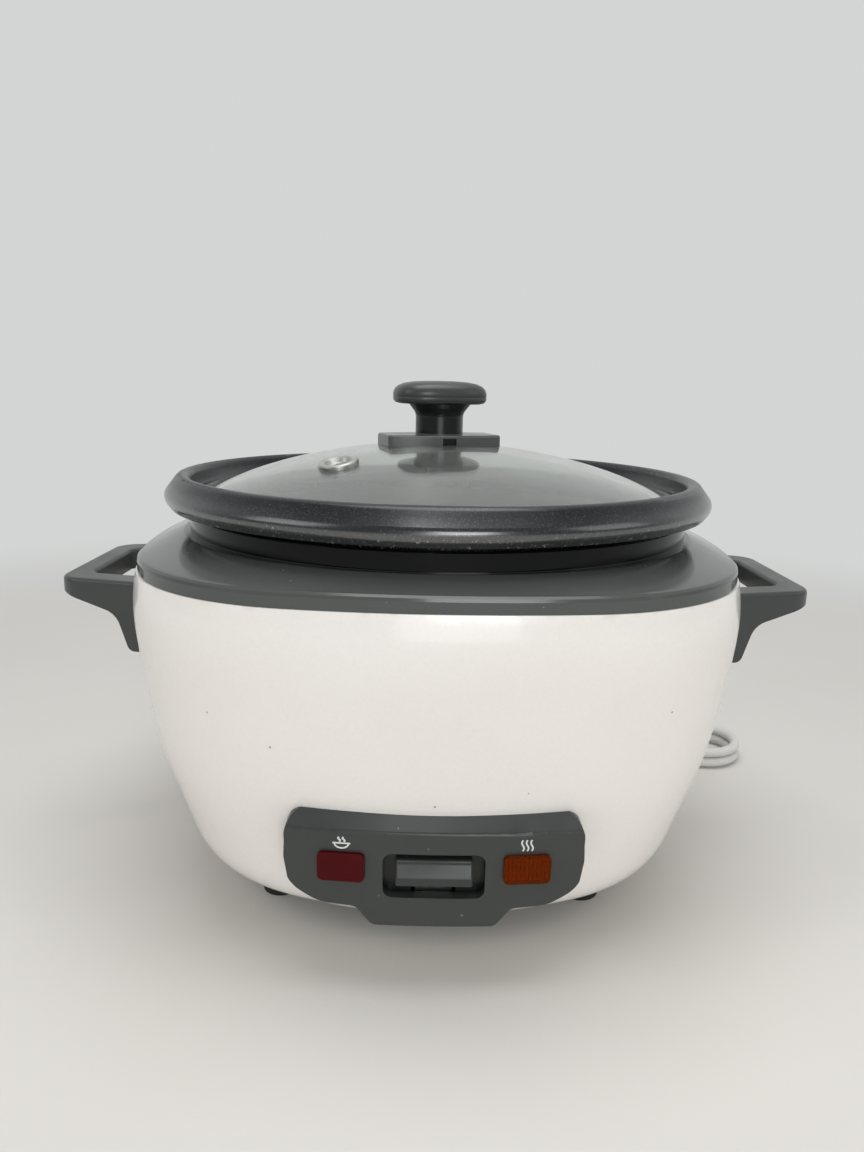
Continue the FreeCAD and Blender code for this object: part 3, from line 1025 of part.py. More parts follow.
gland_mouth = V(size("gland_x"), size(GLAND_SEAT) + size("gland_length"), size("gland_height"))
LEAD_POINTS = [gland_mouth, V(-30, 181, 42), V(-25, 199, 33), V(-10, 211, 20.5), V(14, 213, 10),
               V(40, 204.5, LOW_LAYER), hank_start - ALONG * size("lead_run"), hank_start]
lead_path, lead_bends = cord_path(LEAD_POINTS)
cord_lead = doc.addObject("Part::Feature", "cord_lead")
cord_lead.Label = "cord_lead"
cord_lead.Shape = tube(lead_path, CORD_RADIUS)
for name, path, item in (("lead", lead_path, cord_lead), ("hank", hank_path, cord_hank)):
    expected = path.Length * pi * CORD_RADIUS ** 2
    print(name, "length %.0f, volume ratio %.4f" % (path.Length, item.Shape.Volume / expected))
print("lead bend radii", lead_bends, "least gap of the hank to itself %.2f" % least_self_gap(hank_edges, 2.0))

cord_tie = new_body("cord_tie")
TIE_HALF = "(waist_half + cord_diameter / 2 + tie_gap)"
TIE_LOW = "(0 - cord_diameter / 2 - tie_gap)"
TIE_HIGH = "(layer_pitch + cord_diameter / 2 + tie_gap)"
pad(cord_tie, "band", "YZ", "0", [
    rectangle("0 - %s - tie_gauge" % TIE_HALF, TIE_HALF + " + tie_gauge", TIE_LOW + " - tie_gauge",
              TIE_HIGH + " + tie_gauge", "tie_round + tie_gauge"),
    rectangle("0 - " + TIE_HALF, TIE_HALF, TIE_LOW, TIE_HIGH, "tie_round")], "tie_width", both_ways=True)
HANK_TURN = FreeCAD.Rotation(Z_AXIS, degrees(atan2(ALONG.y, ALONG.x)))
cord_tie.Placement = FreeCAD.Placement(hank_point(RUN / 2, 0, LOW_LAYER), HANK_TURN)

# Plug: its own X axis points away from the cord
plug_body = new_body("plug_body")
PLUG_HALF = "(plug_width / 2)"
PLUG_SHOULDER = "(plug_sleeve + plug_shoulder)"
PLUG_FACE = "(plug_sleeve + plug_length)"
pad(plug_body, "grip", "XY", "0 - plug_tall / 2",
    [[("plug_sleeve", "0 - cord_diameter"), (PLUG_SHOULDER, "0 - " + PLUG_HALF, "plug_shoulder_round"),
      (PLUG_FACE, "0 - " + PLUG_HALF, "plug_face_round"), (PLUG_FACE, PLUG_HALF, "plug_face_round"),
      (PLUG_SHOULDER, PLUG_HALF, "plug_shoulder_round"), ("plug_sleeve", "cord_diameter")]], "plug_tall")
round_edges(plug_body, ["0 - plug_tall / 2", "plug_tall / 2"], "plug_round")
sleeve_profile = new_sketch(plug_body, "sleeve_profile", "XZ", "0")
SLEEVE_END = "plug_sleeve + sleeve_lap"
add_outline(sleeve_profile, [("0", "0"), (SLEEVE_END, "0"), (SLEEVE_END, "sleeve_root"), ("0", "sleeve_tip")])
sleeve = plug_body.newObject("PartDesign::Revolution", "plug_sleeve_turned")
sleeve.Profile = sleeve_profile
sleeve.ReferenceAxis = (sleeve_profile, ["H_Axis"])
sleeve.Angle = 360
blades = []
for number, side in enumerate((1, -1), 1):
    blade = new_body("plug_blade_%d" % number)
    middle = signed(side, "(blade_spread / 2)")
    pad(blade, "blade", "XY", "0 - blade_width / 2",
        [rectangle(PLUG_FACE, PLUG_FACE + " + blade_length", middle + " - blade_gauge / 2",
                   middle + " + blade_gauge / 2")], "blade_width")
    blades.append(blade)
PLUG_PLACE = FreeCAD.Placement(hank_end, FreeCAD.Rotation(Z_AXIS, degrees(atan2(-ALONG.y, -ALONG.x))))
for item in [plug_body] + blades:
    item.Placement = PLUG_PLACE

NODES = [outer_shell, top_collar, left_handle, right_handle, control_panel, cook_lens, warm_lens,
         base_plate, inner_liner, heater_plate, heating_element, sensor_housing, sensor_cap,
         sensor_spring, push_rod, latch_magnet, lever_arm, lever_pin, lever_bracket, lever_button,
         lever_spring, micro_switch, switch_plunger, warm_thermostat, thermal_fuse, terminal_block,
         inner_pot, pot_rim, lid_glass, lid_rim, vent_grommet, knob_base, knob_cap, knob_retainer,
         knob_screw, cord_gland, cord_lead, cord_hank, cord_tie, plug_body]
NODES += lamps + handle_screws + feet + base_screws + plate_studs + blades

doc.recompute()
faults = [item.Name for item in doc.Objects if "Invalid" in item.State or "Error" in item.State]
for item in NODES:
    shape = item.Shape
    if shape.isNull() or not shape.isValid() or shape.Volume <= 0:
        faults.append(item.Label)
if faults:
    raise ValueError("failed: " + ", ".join(faults))
os.makedirs("parts", exist_ok=True)
for item in NODES:
    item.Shape.exportStep("parts/%s.step" % item.Label)
print("pieces written:", len(NODES))
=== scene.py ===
import math

import bmesh
import bpy
from mathutils import Matrix, Vector
from mathutils.bvhtree import BVHTree


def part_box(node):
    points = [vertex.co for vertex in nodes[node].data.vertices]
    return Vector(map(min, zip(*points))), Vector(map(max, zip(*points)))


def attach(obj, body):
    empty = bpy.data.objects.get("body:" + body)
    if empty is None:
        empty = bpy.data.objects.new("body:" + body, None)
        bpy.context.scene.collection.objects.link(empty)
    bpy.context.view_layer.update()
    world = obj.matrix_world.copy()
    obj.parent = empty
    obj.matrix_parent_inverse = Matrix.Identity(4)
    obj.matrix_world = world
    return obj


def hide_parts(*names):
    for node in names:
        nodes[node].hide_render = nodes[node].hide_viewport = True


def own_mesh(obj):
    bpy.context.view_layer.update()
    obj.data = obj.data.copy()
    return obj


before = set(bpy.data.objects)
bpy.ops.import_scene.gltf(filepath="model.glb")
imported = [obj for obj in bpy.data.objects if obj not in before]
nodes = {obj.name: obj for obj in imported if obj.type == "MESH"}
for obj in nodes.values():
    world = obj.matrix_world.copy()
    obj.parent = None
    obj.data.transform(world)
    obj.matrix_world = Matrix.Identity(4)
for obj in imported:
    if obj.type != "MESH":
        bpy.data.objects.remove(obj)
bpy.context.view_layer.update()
scene = bpy.context.scene
scene.view_settings.view_transform = "Standard"
print("frame loaded:", len(nodes), "nodes")


def linear(hexColour):  # sRGB hex to the linear colour that shaders take
    parts = [int(hexColour[i:i + 2], 16) / 255 for i in (1, 3, 5)]
    return tuple(c / 12.92 if c <= 0.04045 else ((c + 0.055) / 1.055) ** 2.4 for c in parts) + (1.0,)


def perMm(size):  # texture scale for a pattern of this size in millimetres
    return 1000.0 / size


def addNode(tree, kind, inputs=None, **settings):  # a node with its settings, values and links
    node = tree.nodes.new(kind)
    for name, value in settings.items():
        setattr(node, name, value)
    for name, value in (inputs or {}).items():
        if isinstance(value, bpy.types.NodeSocket):
            tree.links.new(value, node.inputs[name])
        else:
            node.inputs[name].default_value = value
    return node


def blend(tree, share, first, second):  # a mix of two colours
    return addNode(tree, "ShaderNodeMix", {0: share, 6: first, 7: second}, data_type="RGBA").outputs[2]


noiseSpan = (0.3, 0.7)  # most of a noise lies within these values
dustEdge = (0.03, 0.06)  # a grain of dust ends here, as a share of its cell
reliefDepth = 0.0001


def noise(tree, place, size, detail):  # a cloudy pattern of this size in millimetres
    return addNode(tree, "ShaderNodeTexNoise", {"Vector": place, "Scale": perMm(size), "Detail": detail})


def sheenOf(tree, pattern, look, span=(0.0, 1.0)):  # roughness that wanders with a pattern
    sheen = addNode(tree, "ShaderNodeMapRange", {"Value": pattern.outputs["Fac"], "From Min": span[0],
                                                 "From Max": span[1], "To Min": look["smooth"],
                                                 "To Max": look["dull"]})
    return sheen.outputs[0]


def reliefOf(tree, pattern, look):  # a fine unevenness
    bump = addNode(tree, "ShaderNodeBump", {"Strength": look["relief"], "Distance": reliefDepth,
                                            "Height": pattern.outputs["Fac"]})
    return bump.outputs["Normal"]


def connect(tree, shader, colour, roughness, normal=None):  # what changes over a surface
    tree.links.new(colour, shader.inputs["Base Color"])
    tree.links.new(roughness, shader.inputs["Roughness"])
    if normal is not None:
        tree.links.new(normal, shader.inputs["Normal"])


def startMaterial(name, constants):  # a principled shader, its output and the object's own coordinates
    material = bpy.data.materials.new(name)
    material.use_nodes = True
    tree = material.node_tree
    tree.nodes.clear()
    shader = addNode(tree, "ShaderNodeBsdfPrincipled", constants)
    addNode(tree, "ShaderNodeOutputMaterial", {"Surface": shader.outputs["BSDF"]})
    place = addNode(tree, "ShaderNodeTexCoord").outputs["Object"]
    return material, tree, shader, place


def dress(material, *names):  # a material on CAD nodes
    for name in names:
        nodes[name].data.materials.clear()
        nodes[name].data.materials.append(material)


def openGroup(name, sockets):  # a Geometry Nodes group, the keys of its inputs and its input node
    group = bpy.data.node_groups.new(name, "GeometryNodeTree")
    keys = {}
    for label, kind in sockets.items():
        socket = group.interface.new_socket(label, in_out="INPUT", socket_type="NodeSocket" + kind)
        keys[label] = socket.identifier
    group.interface.new_socket("Geometry", in_out="OUTPUT", socket_type="NodeSocketGeometry")
    return group, keys, addNode(group, "NodeGroupInput")


def applied(piece):  # the mesh that a piece has after its modifiers
    bpy.context.view_layer.update()
    return bpy.data.meshes.new_from_object(piece.evaluated_get(bpy.context.evaluated_depsgraph_get()))


# rolled edges: a distance to merge points in metres, then angles in degrees
rolled = {"merge": 2e-6, "coplanar": 0.1, "corner": 20, "upright": 0.8, "cornerSegments": 5, "segments": 3}


# a CAD node's copy with rolled edges and a material of its own takes the node's place
def softened(node, body, width, crease, material, corners=None, fuller=None):
    mesh = nodes[node].data.copy()
    merged = bmesh.new()
    merged.from_mesh(mesh)
    bmesh.ops.remove_doubles(merged, verts=merged.verts, dist=rolled["merge"])
    bmesh.ops.dissolve_limit(merged, angle_limit=math.radians(rolled["coplanar"]), verts=merged.verts,
                             edges=merged.edges)
    if fuller:  # the ends swell by a little that changes with height, along the round of the face
        for vertex in merged.verts:
            share = min(max((abs(vertex.co.x) - fuller["from"]) / (fuller["to"] - fuller["from"]), 0.0), 1.0)
            swell = 0.0
            for middle, reach, out in fuller["bumps"]:
                away = min(abs(vertex.co.z - middle) / reach, 1.0)
                swell += share * out * math.cos(math.pi / 2 * away) ** 2
            vertex.co.y += swell * abs(vertex.co.x) / fuller["radius"]
            if vertex.co.y > fuller["back"]:  # its rear edge stays sunk in the wall
                vertex.co.y += swell * fuller["sink"]
            vertex.co.x += math.copysign(swell, vertex.co.x)
    if corners:  # upright corners of the outline get a larger round
        wide, below = corners
        upright = [e for e in merged.edges
                   if e.is_manifold and e.calc_face_angle(0) > math.radians(rolled["corner"])
                   and abs((e.verts[0].co - e.verts[1].co).normalized().y) > rolled["upright"]
                   and max(v.co.z for v in e.verts) < below]
        bmesh.ops.bevel(merged, geom=upright, offset=wide, segments=rolled["cornerSegments"], affect="EDGES",
                        profile=0.5, clamp_overlap=True)
    merged.to_mesh(mesh)
    merged.free()
    piece = bpy.data.objects.new("moulded_" + node, mesh)
    scene.collection.objects.link(piece)
    bevel = piece.modifiers.new("rolled_edges", "BEVEL")
    bevel.width = width
    bevel.segments = rolled["segments"]
    bevel.limit_method = "ANGLE"
    bevel.angle_limit = math.radians(crease)
    flat = piece.modifiers.new("flat_faces", "WEIGHTED_NORMAL")  # broad faces stay flat beside the rounds
    flat.weight = 100
    mesh.shade_smooth()
    piece.data = applied(piece)
    piece.modifiers.clear()
    piece.data.materials.clear()
    piece.data.materials.append(material)
    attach(piece, body)
    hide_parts(node)
    print("softened", node, len(piece.data.polygons), "faces")


# the camera stands where the photograph was taken
camera = {"distance": 0.475, "height": 0.260, "aside": -0.0022, "pitch": 12.6, "roll": 1.2, "turn": 0.46,
          "focalPixels": 865.0, "imageHeight": 1152, "sensor": 36.0}
cameraData = bpy.data.cameras.new("camera")
cameraData.sensor_width = camera["sensor"]
cameraData.lens = camera["focalPixels"] / camera["imageHeight"] * camera["sensor"]
cameraData.clip_start = 0.01
cameraObject = bpy.data.objects.new("camera", cameraData)
cameraObject.matrix_world = (Matrix.Rotation(math.radians(-camera["turn"]), 4, "Z")
                             @ Matrix.Translation((camera["aside"], -camera["distance"], camera["height"]))
                             @ Matrix.Rotation(math.radians(90 - camera["pitch"]), 4, "X")
                             @ Matrix.Rotation(math.radians(camera["roll"]), 4, "Z"))
scene.collection.objects.link(cameraObject)
scene.camera = cameraObject
print("camera placed")

# the cord leaves the gland, drops to the table and lies as a tied hank behind the right side
cord = {"diameter": 0.0065, "length": 0.953, "loopLeft": (0.080, 0.158), "loopRight": (0.195, 0.113),
        "loopRadius": 0.025, "waist": 0.00365, "low": 0.00445, "high": 0.01145, "turnSteps": 4,
        "start": -0.007, "end": -0.014, "approach": 0.022,
        "lead": [(-0.030, 0.1624, 0.042), (-0.030, 0.181, 0.042), (-0.025, 0.199, 0.033),
                 (-0.010, 0.211, 0.0205), (0.014, 0.213, 0.010), (0.040, 0.2045, 0.00445)]}
hankOrigin = Vector((*cord["loopLeft"], 0))
along = Vector((*cord["loopRight"], 0)) - hankOrigin
hankRun = along.length
along.normalize()
across = Vector((-along.y, along.x, 0))


def hankPoint(u, v, z):  # u along the hank, v across it
    return hankOrigin + along * u + across * v + Vector((0, 0, z))


def hankSide(side, z, backwards):  # one run of the hank, drawn in at the tie
    rise = cord["loopRadius"] - cord["waist"]
    bend = ((hankRun / 2) ** 2 + rise ** 2) / (4 * rise)
    reach = bend * math.tan(math.asin(hankRun / 4 / bend) / 2)
    points = [(reach, cord["loopRadius"]), (hankRun / 2 - reach, cord["waist"]),
              (hankRun / 2 + reach, cord["waist"]), (hankRun - reach, cord["loopRadius"])]
    return [hankPoint(u, side * v, z) for u, v in (reversed(points) if backwards else points)]


def hankTurn(atEnd, zStart, zEnd):  # one half turn at an end of the hank
    step = math.pi / cord["turnSteps"]
    radius = cord["loopRadius"] / math.cos(step / 2)
    points = []
    for i in range(cord["turnSteps"]):
        angle = (i + 0.5) * step
        z = zStart + (zEnd - zStart) * (i + 0.5) / cord["turnSteps"]
        u, v = radius * math.sin(angle), radius * math.cos(angle)
        points.append(hankPoint(hankRun + u, v, z) if atEnd else hankPoint(-u, -v, z))
    return points


low, high, ring = cord["low"], cord["high"], cord["loopRadius"]
cordPoints = [Vector(p) for p in cord["lead"]]
cordPoints += [hankPoint(cord["start"] - cord["approach"], ring, low), hankPoint(cord["start"], ring, low)]
cordPoints += hankSide(1, low, False) + hankTurn(True, low, low) + hankSide(-1, low, True)
cordPoints += hankTurn(False, low, high)
cordPoints += hankSide(1, high, False) + hankTurn(True, high, high) + hankSide(-1, high, True)
cordPoints += [hankPoint(cord["end"], -ring, high)]
cordCurve = bpy.data.curves.new("mains_cord", "CURVE")
cordCurve.dimensions = "3D"
cordCurve.bevel_depth = 1.0  # each point's radius is the cord's
cordCurve.bevel_resolution = 5
cordCurve.resolution_u = 8
cordCurve.use_fill_caps = True
cordSpline = cordCurve.splines.new("NURBS")
cordSpline.points.add(len(cordPoints) - 1)
for splinePoint, point in zip(cordSpline.points, cordPoints):
    splinePoint.co = (*point, 1)
    splinePoint.radius = cord["diameter"] / 2
cordSpline.order_u = 3
cordSpline.use_endpoint_u = True
cordPiece = bpy.data.objects.new("mains_cord", cordCurve)
scene.collection.objects.link(cordPiece)
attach(cordPiece, "cooker")
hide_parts("cord_lead", "cord_hank")
print("cord laid:", len(cordPoints), "points")


# baked gloss enamel on drawn steel: warm white, faint orange peel, clear coat, specks and a stained brim
enamel = {"colour": "#f0ece8", "shade": "#e9e4de", "speck": "#6a4a34", "stain": "#c8b184", "cloud": 70,
          "speckCell": 16, "peel": 4, "fleck": 1.4, "grime": 9, "brim": (0.1695, 0.1722),
          "speckEdge": (0.022, 0.040), "speckShow": 0.75, "fleckTone": (0.965, 1.035),
          "grimeFrom": (0.52, 0.8), "grimeShow": 0.6, "smooth": 0.17, "dull": 0.25, "relief": 0.12}
enamelPaint, tree, shader, place = startMaterial("gloss_enamel_on_drawn_steel",
    {"IOR": 1.5, "Coat Weight": 0.6, "Coat Roughness": 0.07})
cloud = noise(tree, place, enamel["cloud"], 3)
body = blend(tree, cloud.outputs["Fac"], linear(enamel["colour"]), linear(enamel["shade"]))
fleck = noise(tree, place, enamel["fleck"], 2)
fleckTone = addNode(tree, "ShaderNodeMapRange", {"Value": fleck.outputs["Fac"],
    "To Min": enamel["fleckTone"][0], "To Max": enamel["fleckTone"][1]})
flecked = addNode(tree, "ShaderNodeVectorMath", {0: body, "Scale": fleckTone.outputs[0]}, operation="SCALE")
cells = addNode(tree, "ShaderNodeTexVoronoi", {"Vector": place, "Scale": perMm(enamel["speckCell"])})
speck = addNode(tree, "ShaderNodeMapRange", {"Value": cells.outputs["Distance"],
    "From Min": enamel["speckEdge"][0], "From Max": enamel["speckEdge"][1], "To Min": enamel["speckShow"],
    "To Max": 0.0})
specked = blend(tree, speck.outputs[0], flecked.outputs[0], linear(enamel["speck"]))
height = addNode(tree, "ShaderNodeSeparateXYZ", {"Vector": place})
edge = addNode(tree, "ShaderNodeMapRange", {"Value": height.outputs["Z"], "From Min": enamel["brim"][0],
                                            "From Max": enamel["brim"][1]})
grime = noise(tree, place, enamel["grime"], 4)
grimePatch = addNode(tree, "ShaderNodeMapRange", {"Value": grime.outputs["Fac"],
    "From Min": enamel["grimeFrom"][0], "From Max": enamel["grimeFrom"][1], "To Max": enamel["grimeShow"]})
stain = addNode(tree, "ShaderNodeMath", {0: edge.outputs[0], 1: grimePatch.outputs[0]}, operation="MULTIPLY")
stained = blend(tree, stain.outputs[0], specked, linear(enamel["stain"]))
sheen = sheenOf(tree, cloud, enamel)
peel = noise(tree, place, enamel["peel"], 1)
peelBump = reliefOf(tree, peel, enamel)
connect(tree, shader, stained, sheen, peelBump)
dress(enamelPaint, "outer_shell")


def mouldedPlastic(name, look):  # injection moulded: even colour, sheen that wanders, fine grain, dust
    specular = look.get("specular", 0.4)
    material, tree, shader, place = startMaterial(name, {"IOR": 1.52, "Coat Weight": look.get("coat", 0.0),
                                                         "Coat Roughness": 0.12,
                                                         "Specular IOR Level": specular})
    cloud = noise(tree, place, look["cloud"], 4)
    body = blend(tree, cloud.outputs["Fac"], linear(look["colour"]), linear(look["shade"]))
    cells = addNode(tree, "ShaderNodeTexVoronoi", {"Vector": place, "Scale": perMm(look["dustCell"])})
    dust = addNode(tree, "ShaderNodeMapRange", {"Value": cells.outputs["Distance"], "From Min": dustEdge[0],
        "From Max": dustEdge[1], "To Min": look["dustShow"], "To Max": 0.0})
    dusty = blend(tree, dust.outputs[0], body, linear(look["dust"]))
    sheen = sheenOf(tree, cloud, look, noiseSpan)
    grain = noise(tree, place, look["grain"], 2)
    relief = reliefOf(tree, grain, look)
    colourOut = dusty
    if "darkFrom" in look:  # a deeper colour past a plane: painted shade in the collar's neck and the panel's slot, a second shot of plastic on the knob's stem
        axes = addNode(tree, "ShaderNodeSeparateXYZ", {"Vector": place})
        past = addNode(tree, "ShaderNodeMapRange", {"Value": axes.outputs[look["darkAxis"]],
            "From Min": look["darkFrom"], "From Max": look["darkFrom"] + look["darkFade"]})
        for axis, middle, reach in look.get("darkWithin", []):  # and only inside these bounds
            inside = addNode(tree, "ShaderNodeMath", {0: axes.outputs[axis], 1: middle, 2: reach},
                operation="COMPARE")
            past = addNode(tree, "ShaderNodeMath", {0: past.outputs[0], 1: inside.outputs[0]},
                operation="MULTIPLY")
        colourOut = blend(tree, past.outputs[0], dusty, linear(look["dark"]))
        shine = addNode(tree, "ShaderNodeMapRange", {"Value": past.outputs[0], "To Min": specular,
                                                     "To Max": look.get("darkSpecular", specular)})
        tree.links.new(shine.outputs[0], shader.inputs["Specular IOR Level"])
    connect(tree, shader, colourOut, sheen, relief)
    return material


# polished ABS: a deep grey with sharp streaks of light and a little settled dust; the collar's neck under the
# pot's rim is painted near black, with weaker reflections, as painted shade
polishedAbs = mouldedPlastic("polished_slate_abs", {"colour": "#535654", "shade": "#4b4e4c", "cloud": 40,
    "dustCell": 9, "dust": "#8f918d", "dustShow": 0.6, "smooth": 0.09, "dull": 0.18, "grain": 2.5,
    "relief": 0.03, "coat": 0.15, "specular": 0.35, "darkAxis": "Z", "darkFrom": 0.1842, "darkFade": 0.0006,
    "dark": "#0a0a0b", "darkSpecular": 0.10})
dress(polishedAbs, "top_collar")
# satin ABS: the same grey with a broader, softer sheen
satinAbs = mouldedPlastic("satin_slate_abs", {"colour": "#414443", "shade": "#3a3d3c", "cloud": 30,
    "dustCell": 11, "dust": "#9a9b97", "dustShow": 0.5, "smooth": 0.29, "dull": 0.40, "grain": 1.0,
    "relief": 0.08})
dress(satinAbs, "left_handle", "right_handle")
# the panel's slot is painted near black inside, as painted shade in the recess
panelAbs = mouldedPlastic("satin_panel_abs", {"colour": "#3b3e3d", "shade": "#343736", "cloud": 30,
    "dustCell": 11, "dust": "#9a9b97", "dustShow": 0.5, "smooth": 0.29, "dull": 0.38, "grain": 1.0,
    "relief": 0.06, "darkAxis": "Y", "darkFrom": -0.1455, "darkFade": 0.002, "dark": "#121313",
    "darkWithin": [("X", 0.0, 0.0228), ("Z", 0.0585, 0.0118)]})
# the panel's ends stand fuller than the solid: bumps give height, reach and how far they go out
panelEnds = {"from": 0.0505, "to": 0.0560, "radius": 0.430, "back": -0.1415, "sink": 0.45,
             "bumps": [(0.0550, 0.0130, 0.0031), (0.0640, 0.0080, 0.0006), (0.0785, 0.0085, 0.0014)]}
softened("control_panel", "cooker", 0.0016, 26, panelAbs, (0.0062, 0.045), panelEnds)
leverAbs = mouldedPlastic("satin_lever_abs", {"colour": "#323534", "shade": "#2c2f2e", "cloud": 18,
    "dustCell": 9, "dust": "#9a9b97", "dustShow": 0.4, "smooth": 0.30, "dull": 0.44, "grain": 0.9,
    "relief": 0.10})
softened("lever_button", "lever", 0.0024, 38, leverAbs)
# glass filled phenolic: near black, hard shine on the stem
knobPhenolic = mouldedPlastic("moulded_black_phenolic", {"colour": "#1c1d1e", "shade": "#161718",
    "cloud": 15, "dustCell": 6, "dust": "#6d6d69", "dustShow": 0.5, "smooth": 0.14, "dull": 0.26,
    "grain": 1.2, "relief": 0.05})
dress(knobPhenolic, "knob_retainer")
# two shots: a grey flange under a black stem; the inside of the flange's notch is painted near black as shade
# in the recess
notch = {"turn": 18, "half": 0.0038, "behind": -0.0224, "under": 0.2315, "notchShade": "#0e0f0f",
         "stemFrom": 0.0049}
knobBaseAbs = mouldedPlastic("two_shot_knob_plastic_notch_shade", {"colour": "#545756", "shade": "#4b4e4d", "cloud": 15,
    "dustCell": 7, "dust": "#8f918d", "dustShow": 0.5, "smooth": 0.17, "dull": 0.26, "grain": 1.2,
    "relief": 0.05, "darkAxis": "Z", "darkFrom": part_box("lid_glass")[1].z + notch["stemFrom"],
    "darkFade": 0.0004, "dark": "#141515"})
tree = knobBaseAbs.node_tree
shader = tree.nodes["Principled BSDF"]
turned = addNode(tree, "ShaderNodeMapping", {"Vector": addNode(tree, "ShaderNodeTexCoord").outputs["Object"],
                                             "Rotation": (0, 0, math.radians(-notch["turn"]))})
axes = addNode(tree, "ShaderNodeSeparateXYZ", {"Vector": turned.outputs[0]})
aside = addNode(tree, "ShaderNodeMath", {0: axes.outputs["X"]}, operation="ABSOLUTE")
narrow = addNode(tree, "ShaderNodeMath", {0: aside.outputs[0], 1: notch["half"]}, operation="LESS_THAN")
deep = addNode(tree, "ShaderNodeMath", {0: axes.outputs["Y"], 1: notch["behind"]}, operation="GREATER_THAN")
lowDown = addNode(tree, "ShaderNodeMath", {0: axes.outputs["Z"], 1: notch["under"]}, operation="LESS_THAN")
inNotch = addNode(tree, "ShaderNodeMath", {0: narrow.outputs[0], 1: deep.outputs[0]}, operation="MULTIPLY")
inNotch = addNode(tree, "ShaderNodeMath", {0: inNotch.outputs[0], 1: lowDown.outputs[0]},
    operation="MULTIPLY")
# the notch's inner walls get painted shade, near black
notched = blend(tree, inNotch.outputs[0], shader.inputs["Base Color"].links[0].from_socket,
    linear(notch["notchShade"]))
tree.links.new(notched, shader.inputs["Base Color"])
softened("knob_base", "lid", 0.0011, 38, knobBaseAbs)
# the cap is a crowned pebble with a seam where its two halves meet
# its profile gives shares of the half size and heights
knob = {"half": 0.0250, "depth": 0.0175, "turn": 18, "squareness": 2.7, "steps": 72, "crease": 50,
        "profile": [(0.55, 0.0006), (0.86, 0.0), (0.95, 0.0006), (0.99, 0.0018), (1.0, 0.0033),
                    (0.988, 0.0037), (1.0, 0.0041), (0.995, 0.0058), (0.965, 0.0077), (0.90, 0.0093),
                    (0.78, 0.0106), (0.58, 0.0115), (0.30, 0.0119)]}
knobLow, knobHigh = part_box("knob_cap")
knobShape = bmesh.new()
knobRings = []
for share, rise in knob["profile"]:
    ring = []
    for i in range(knob["steps"]):
        angle = 2 * math.pi * i / knob["steps"]
        power = 2 / knob["squareness"]
        x = math.copysign(abs(math.cos(angle)) ** power, math.cos(angle)) * knob["half"] * share
        y = math.copysign(abs(math.sin(angle)) ** power, math.sin(angle)) * knob["depth"] * share
        ring.append(knobShape.verts.new(Matrix.Rotation(math.radians(knob["turn"]), 3, "Z")
                                        @ Vector((x, y, knobLow.z + rise))))
    knobRings.append(ring)
for lower, upper in zip(knobRings, knobRings[1:]):
    for i in range(knob["steps"]):
        j = (i + 1) % knob["steps"]
        knobShape.faces.new((lower[i], lower[j], upper[j], upper[i]))
knobShape.faces.new(list(reversed(knobRings[0])))
knobTop = knobShape.verts.new((0, 0, knobHigh.z))
for i in range(knob["steps"]):
    knobShape.faces.new((knobRings[-1][i], knobRings[-1][(i + 1) % knob["steps"]], knobTop))
bmesh.ops.recalc_face_normals(knobShape, faces=knobShape.faces)
knobMesh = bpy.data.meshes.new("crowned_knob_cap")
knobShape.to_mesh(knobMesh)
knobShape.free()
knobMesh.shade_smooth()
knobMesh.set_sharp_from_angle(angle=math.radians(knob["crease"]))
knobPiece = bpy.data.objects.new("crowned_knob_cap", knobMesh)
scene.collection.objects.link(knobPiece)
knobMesh.materials.append(satinAbs)
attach(knobPiece, "lid")
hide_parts("knob_cap")
print("knob cap shaped:", len(knobMesh.polygons), "faces")
# moulded phenolic and nylon of the works inside
switchPhenolic = mouldedPlastic("brown_phenolic_switch_case",
    {"colour": "#4a3324", "shade": "#3e2a1d", "cloud": 10, "dustCell": 7, "dust": "#8d8377",
    "dustShow": 0.4, "smooth": 0.45, "dull": 0.6, "grain": 0.8, "relief": 0.15})
dress(switchPhenolic, "micro_switch", "warm_thermostat")
paleNylon = mouldedPlastic("natural_nylon", {"colour": "#dedad0", "shade": "#d2cdc1", "cloud": 12,
    "dustCell": 8, "dust": "#8d8981", "dustShow": 0.4, "smooth": 0.4, "dull": 0.55, "grain": 1.0,
    "relief": 0.10})
dress(paleNylon, "terminal_block", "switch_plunger", "thermal_fuse")
# soft PVC: pale grey, dull, a little handled dirt
cordPvc = mouldedPlastic("extruded_pale_pvc", {"colour": "#d6d6d3", "shade": "#c9c8c4", "cloud": 14,
    "dustCell": 7, "dust": "#8b8983", "dustShow": 0.5, "smooth": 0.42, "dull": 0.56, "grain": 1.2,
    "relief": 0.12})
cordCurve.materials.append(cordPvc)
dress(cordPvc, "plug_body", "cord_gland")
tieWire = mouldedPlastic("black_pvc_twist_tie", {"colour": "#242526", "shade": "#1b1c1d", "cloud": 8,
    "dustCell": 5, "dust": "#77756f", "dustShow": 0.4, "smooth": 0.4, "dull": 0.55, "grain": 0.9,
    "relief": 0.15})
dress(tieWire, "cord_tie")
footRubber = mouldedPlastic("moulded_black_rubber", {"colour": "#232323", "shade": "#1b1b1b", "cloud": 10,
    "dustCell": 4, "dust": "#7f7b74", "dustShow": 0.6, "smooth": 0.6, "dull": 0.8, "grain": 0.7,
    "relief": 0.25})
dress(footRubber, *["foot_%d" % i for i in range(1, 5)])
ferrite = mouldedPlastic("sintered_ferrite", {"colour": "#39393b", "shade": "#2d2d2f", "cloud": 6,
    "dustCell": 3, "dust": "#707074", "dustShow": 0.5, "smooth": 0.5, "dull": 0.7, "grain": 0.5,
    "relief": 0.3})
dress(ferrite, "latch_magnet")
print("plastics dressed")

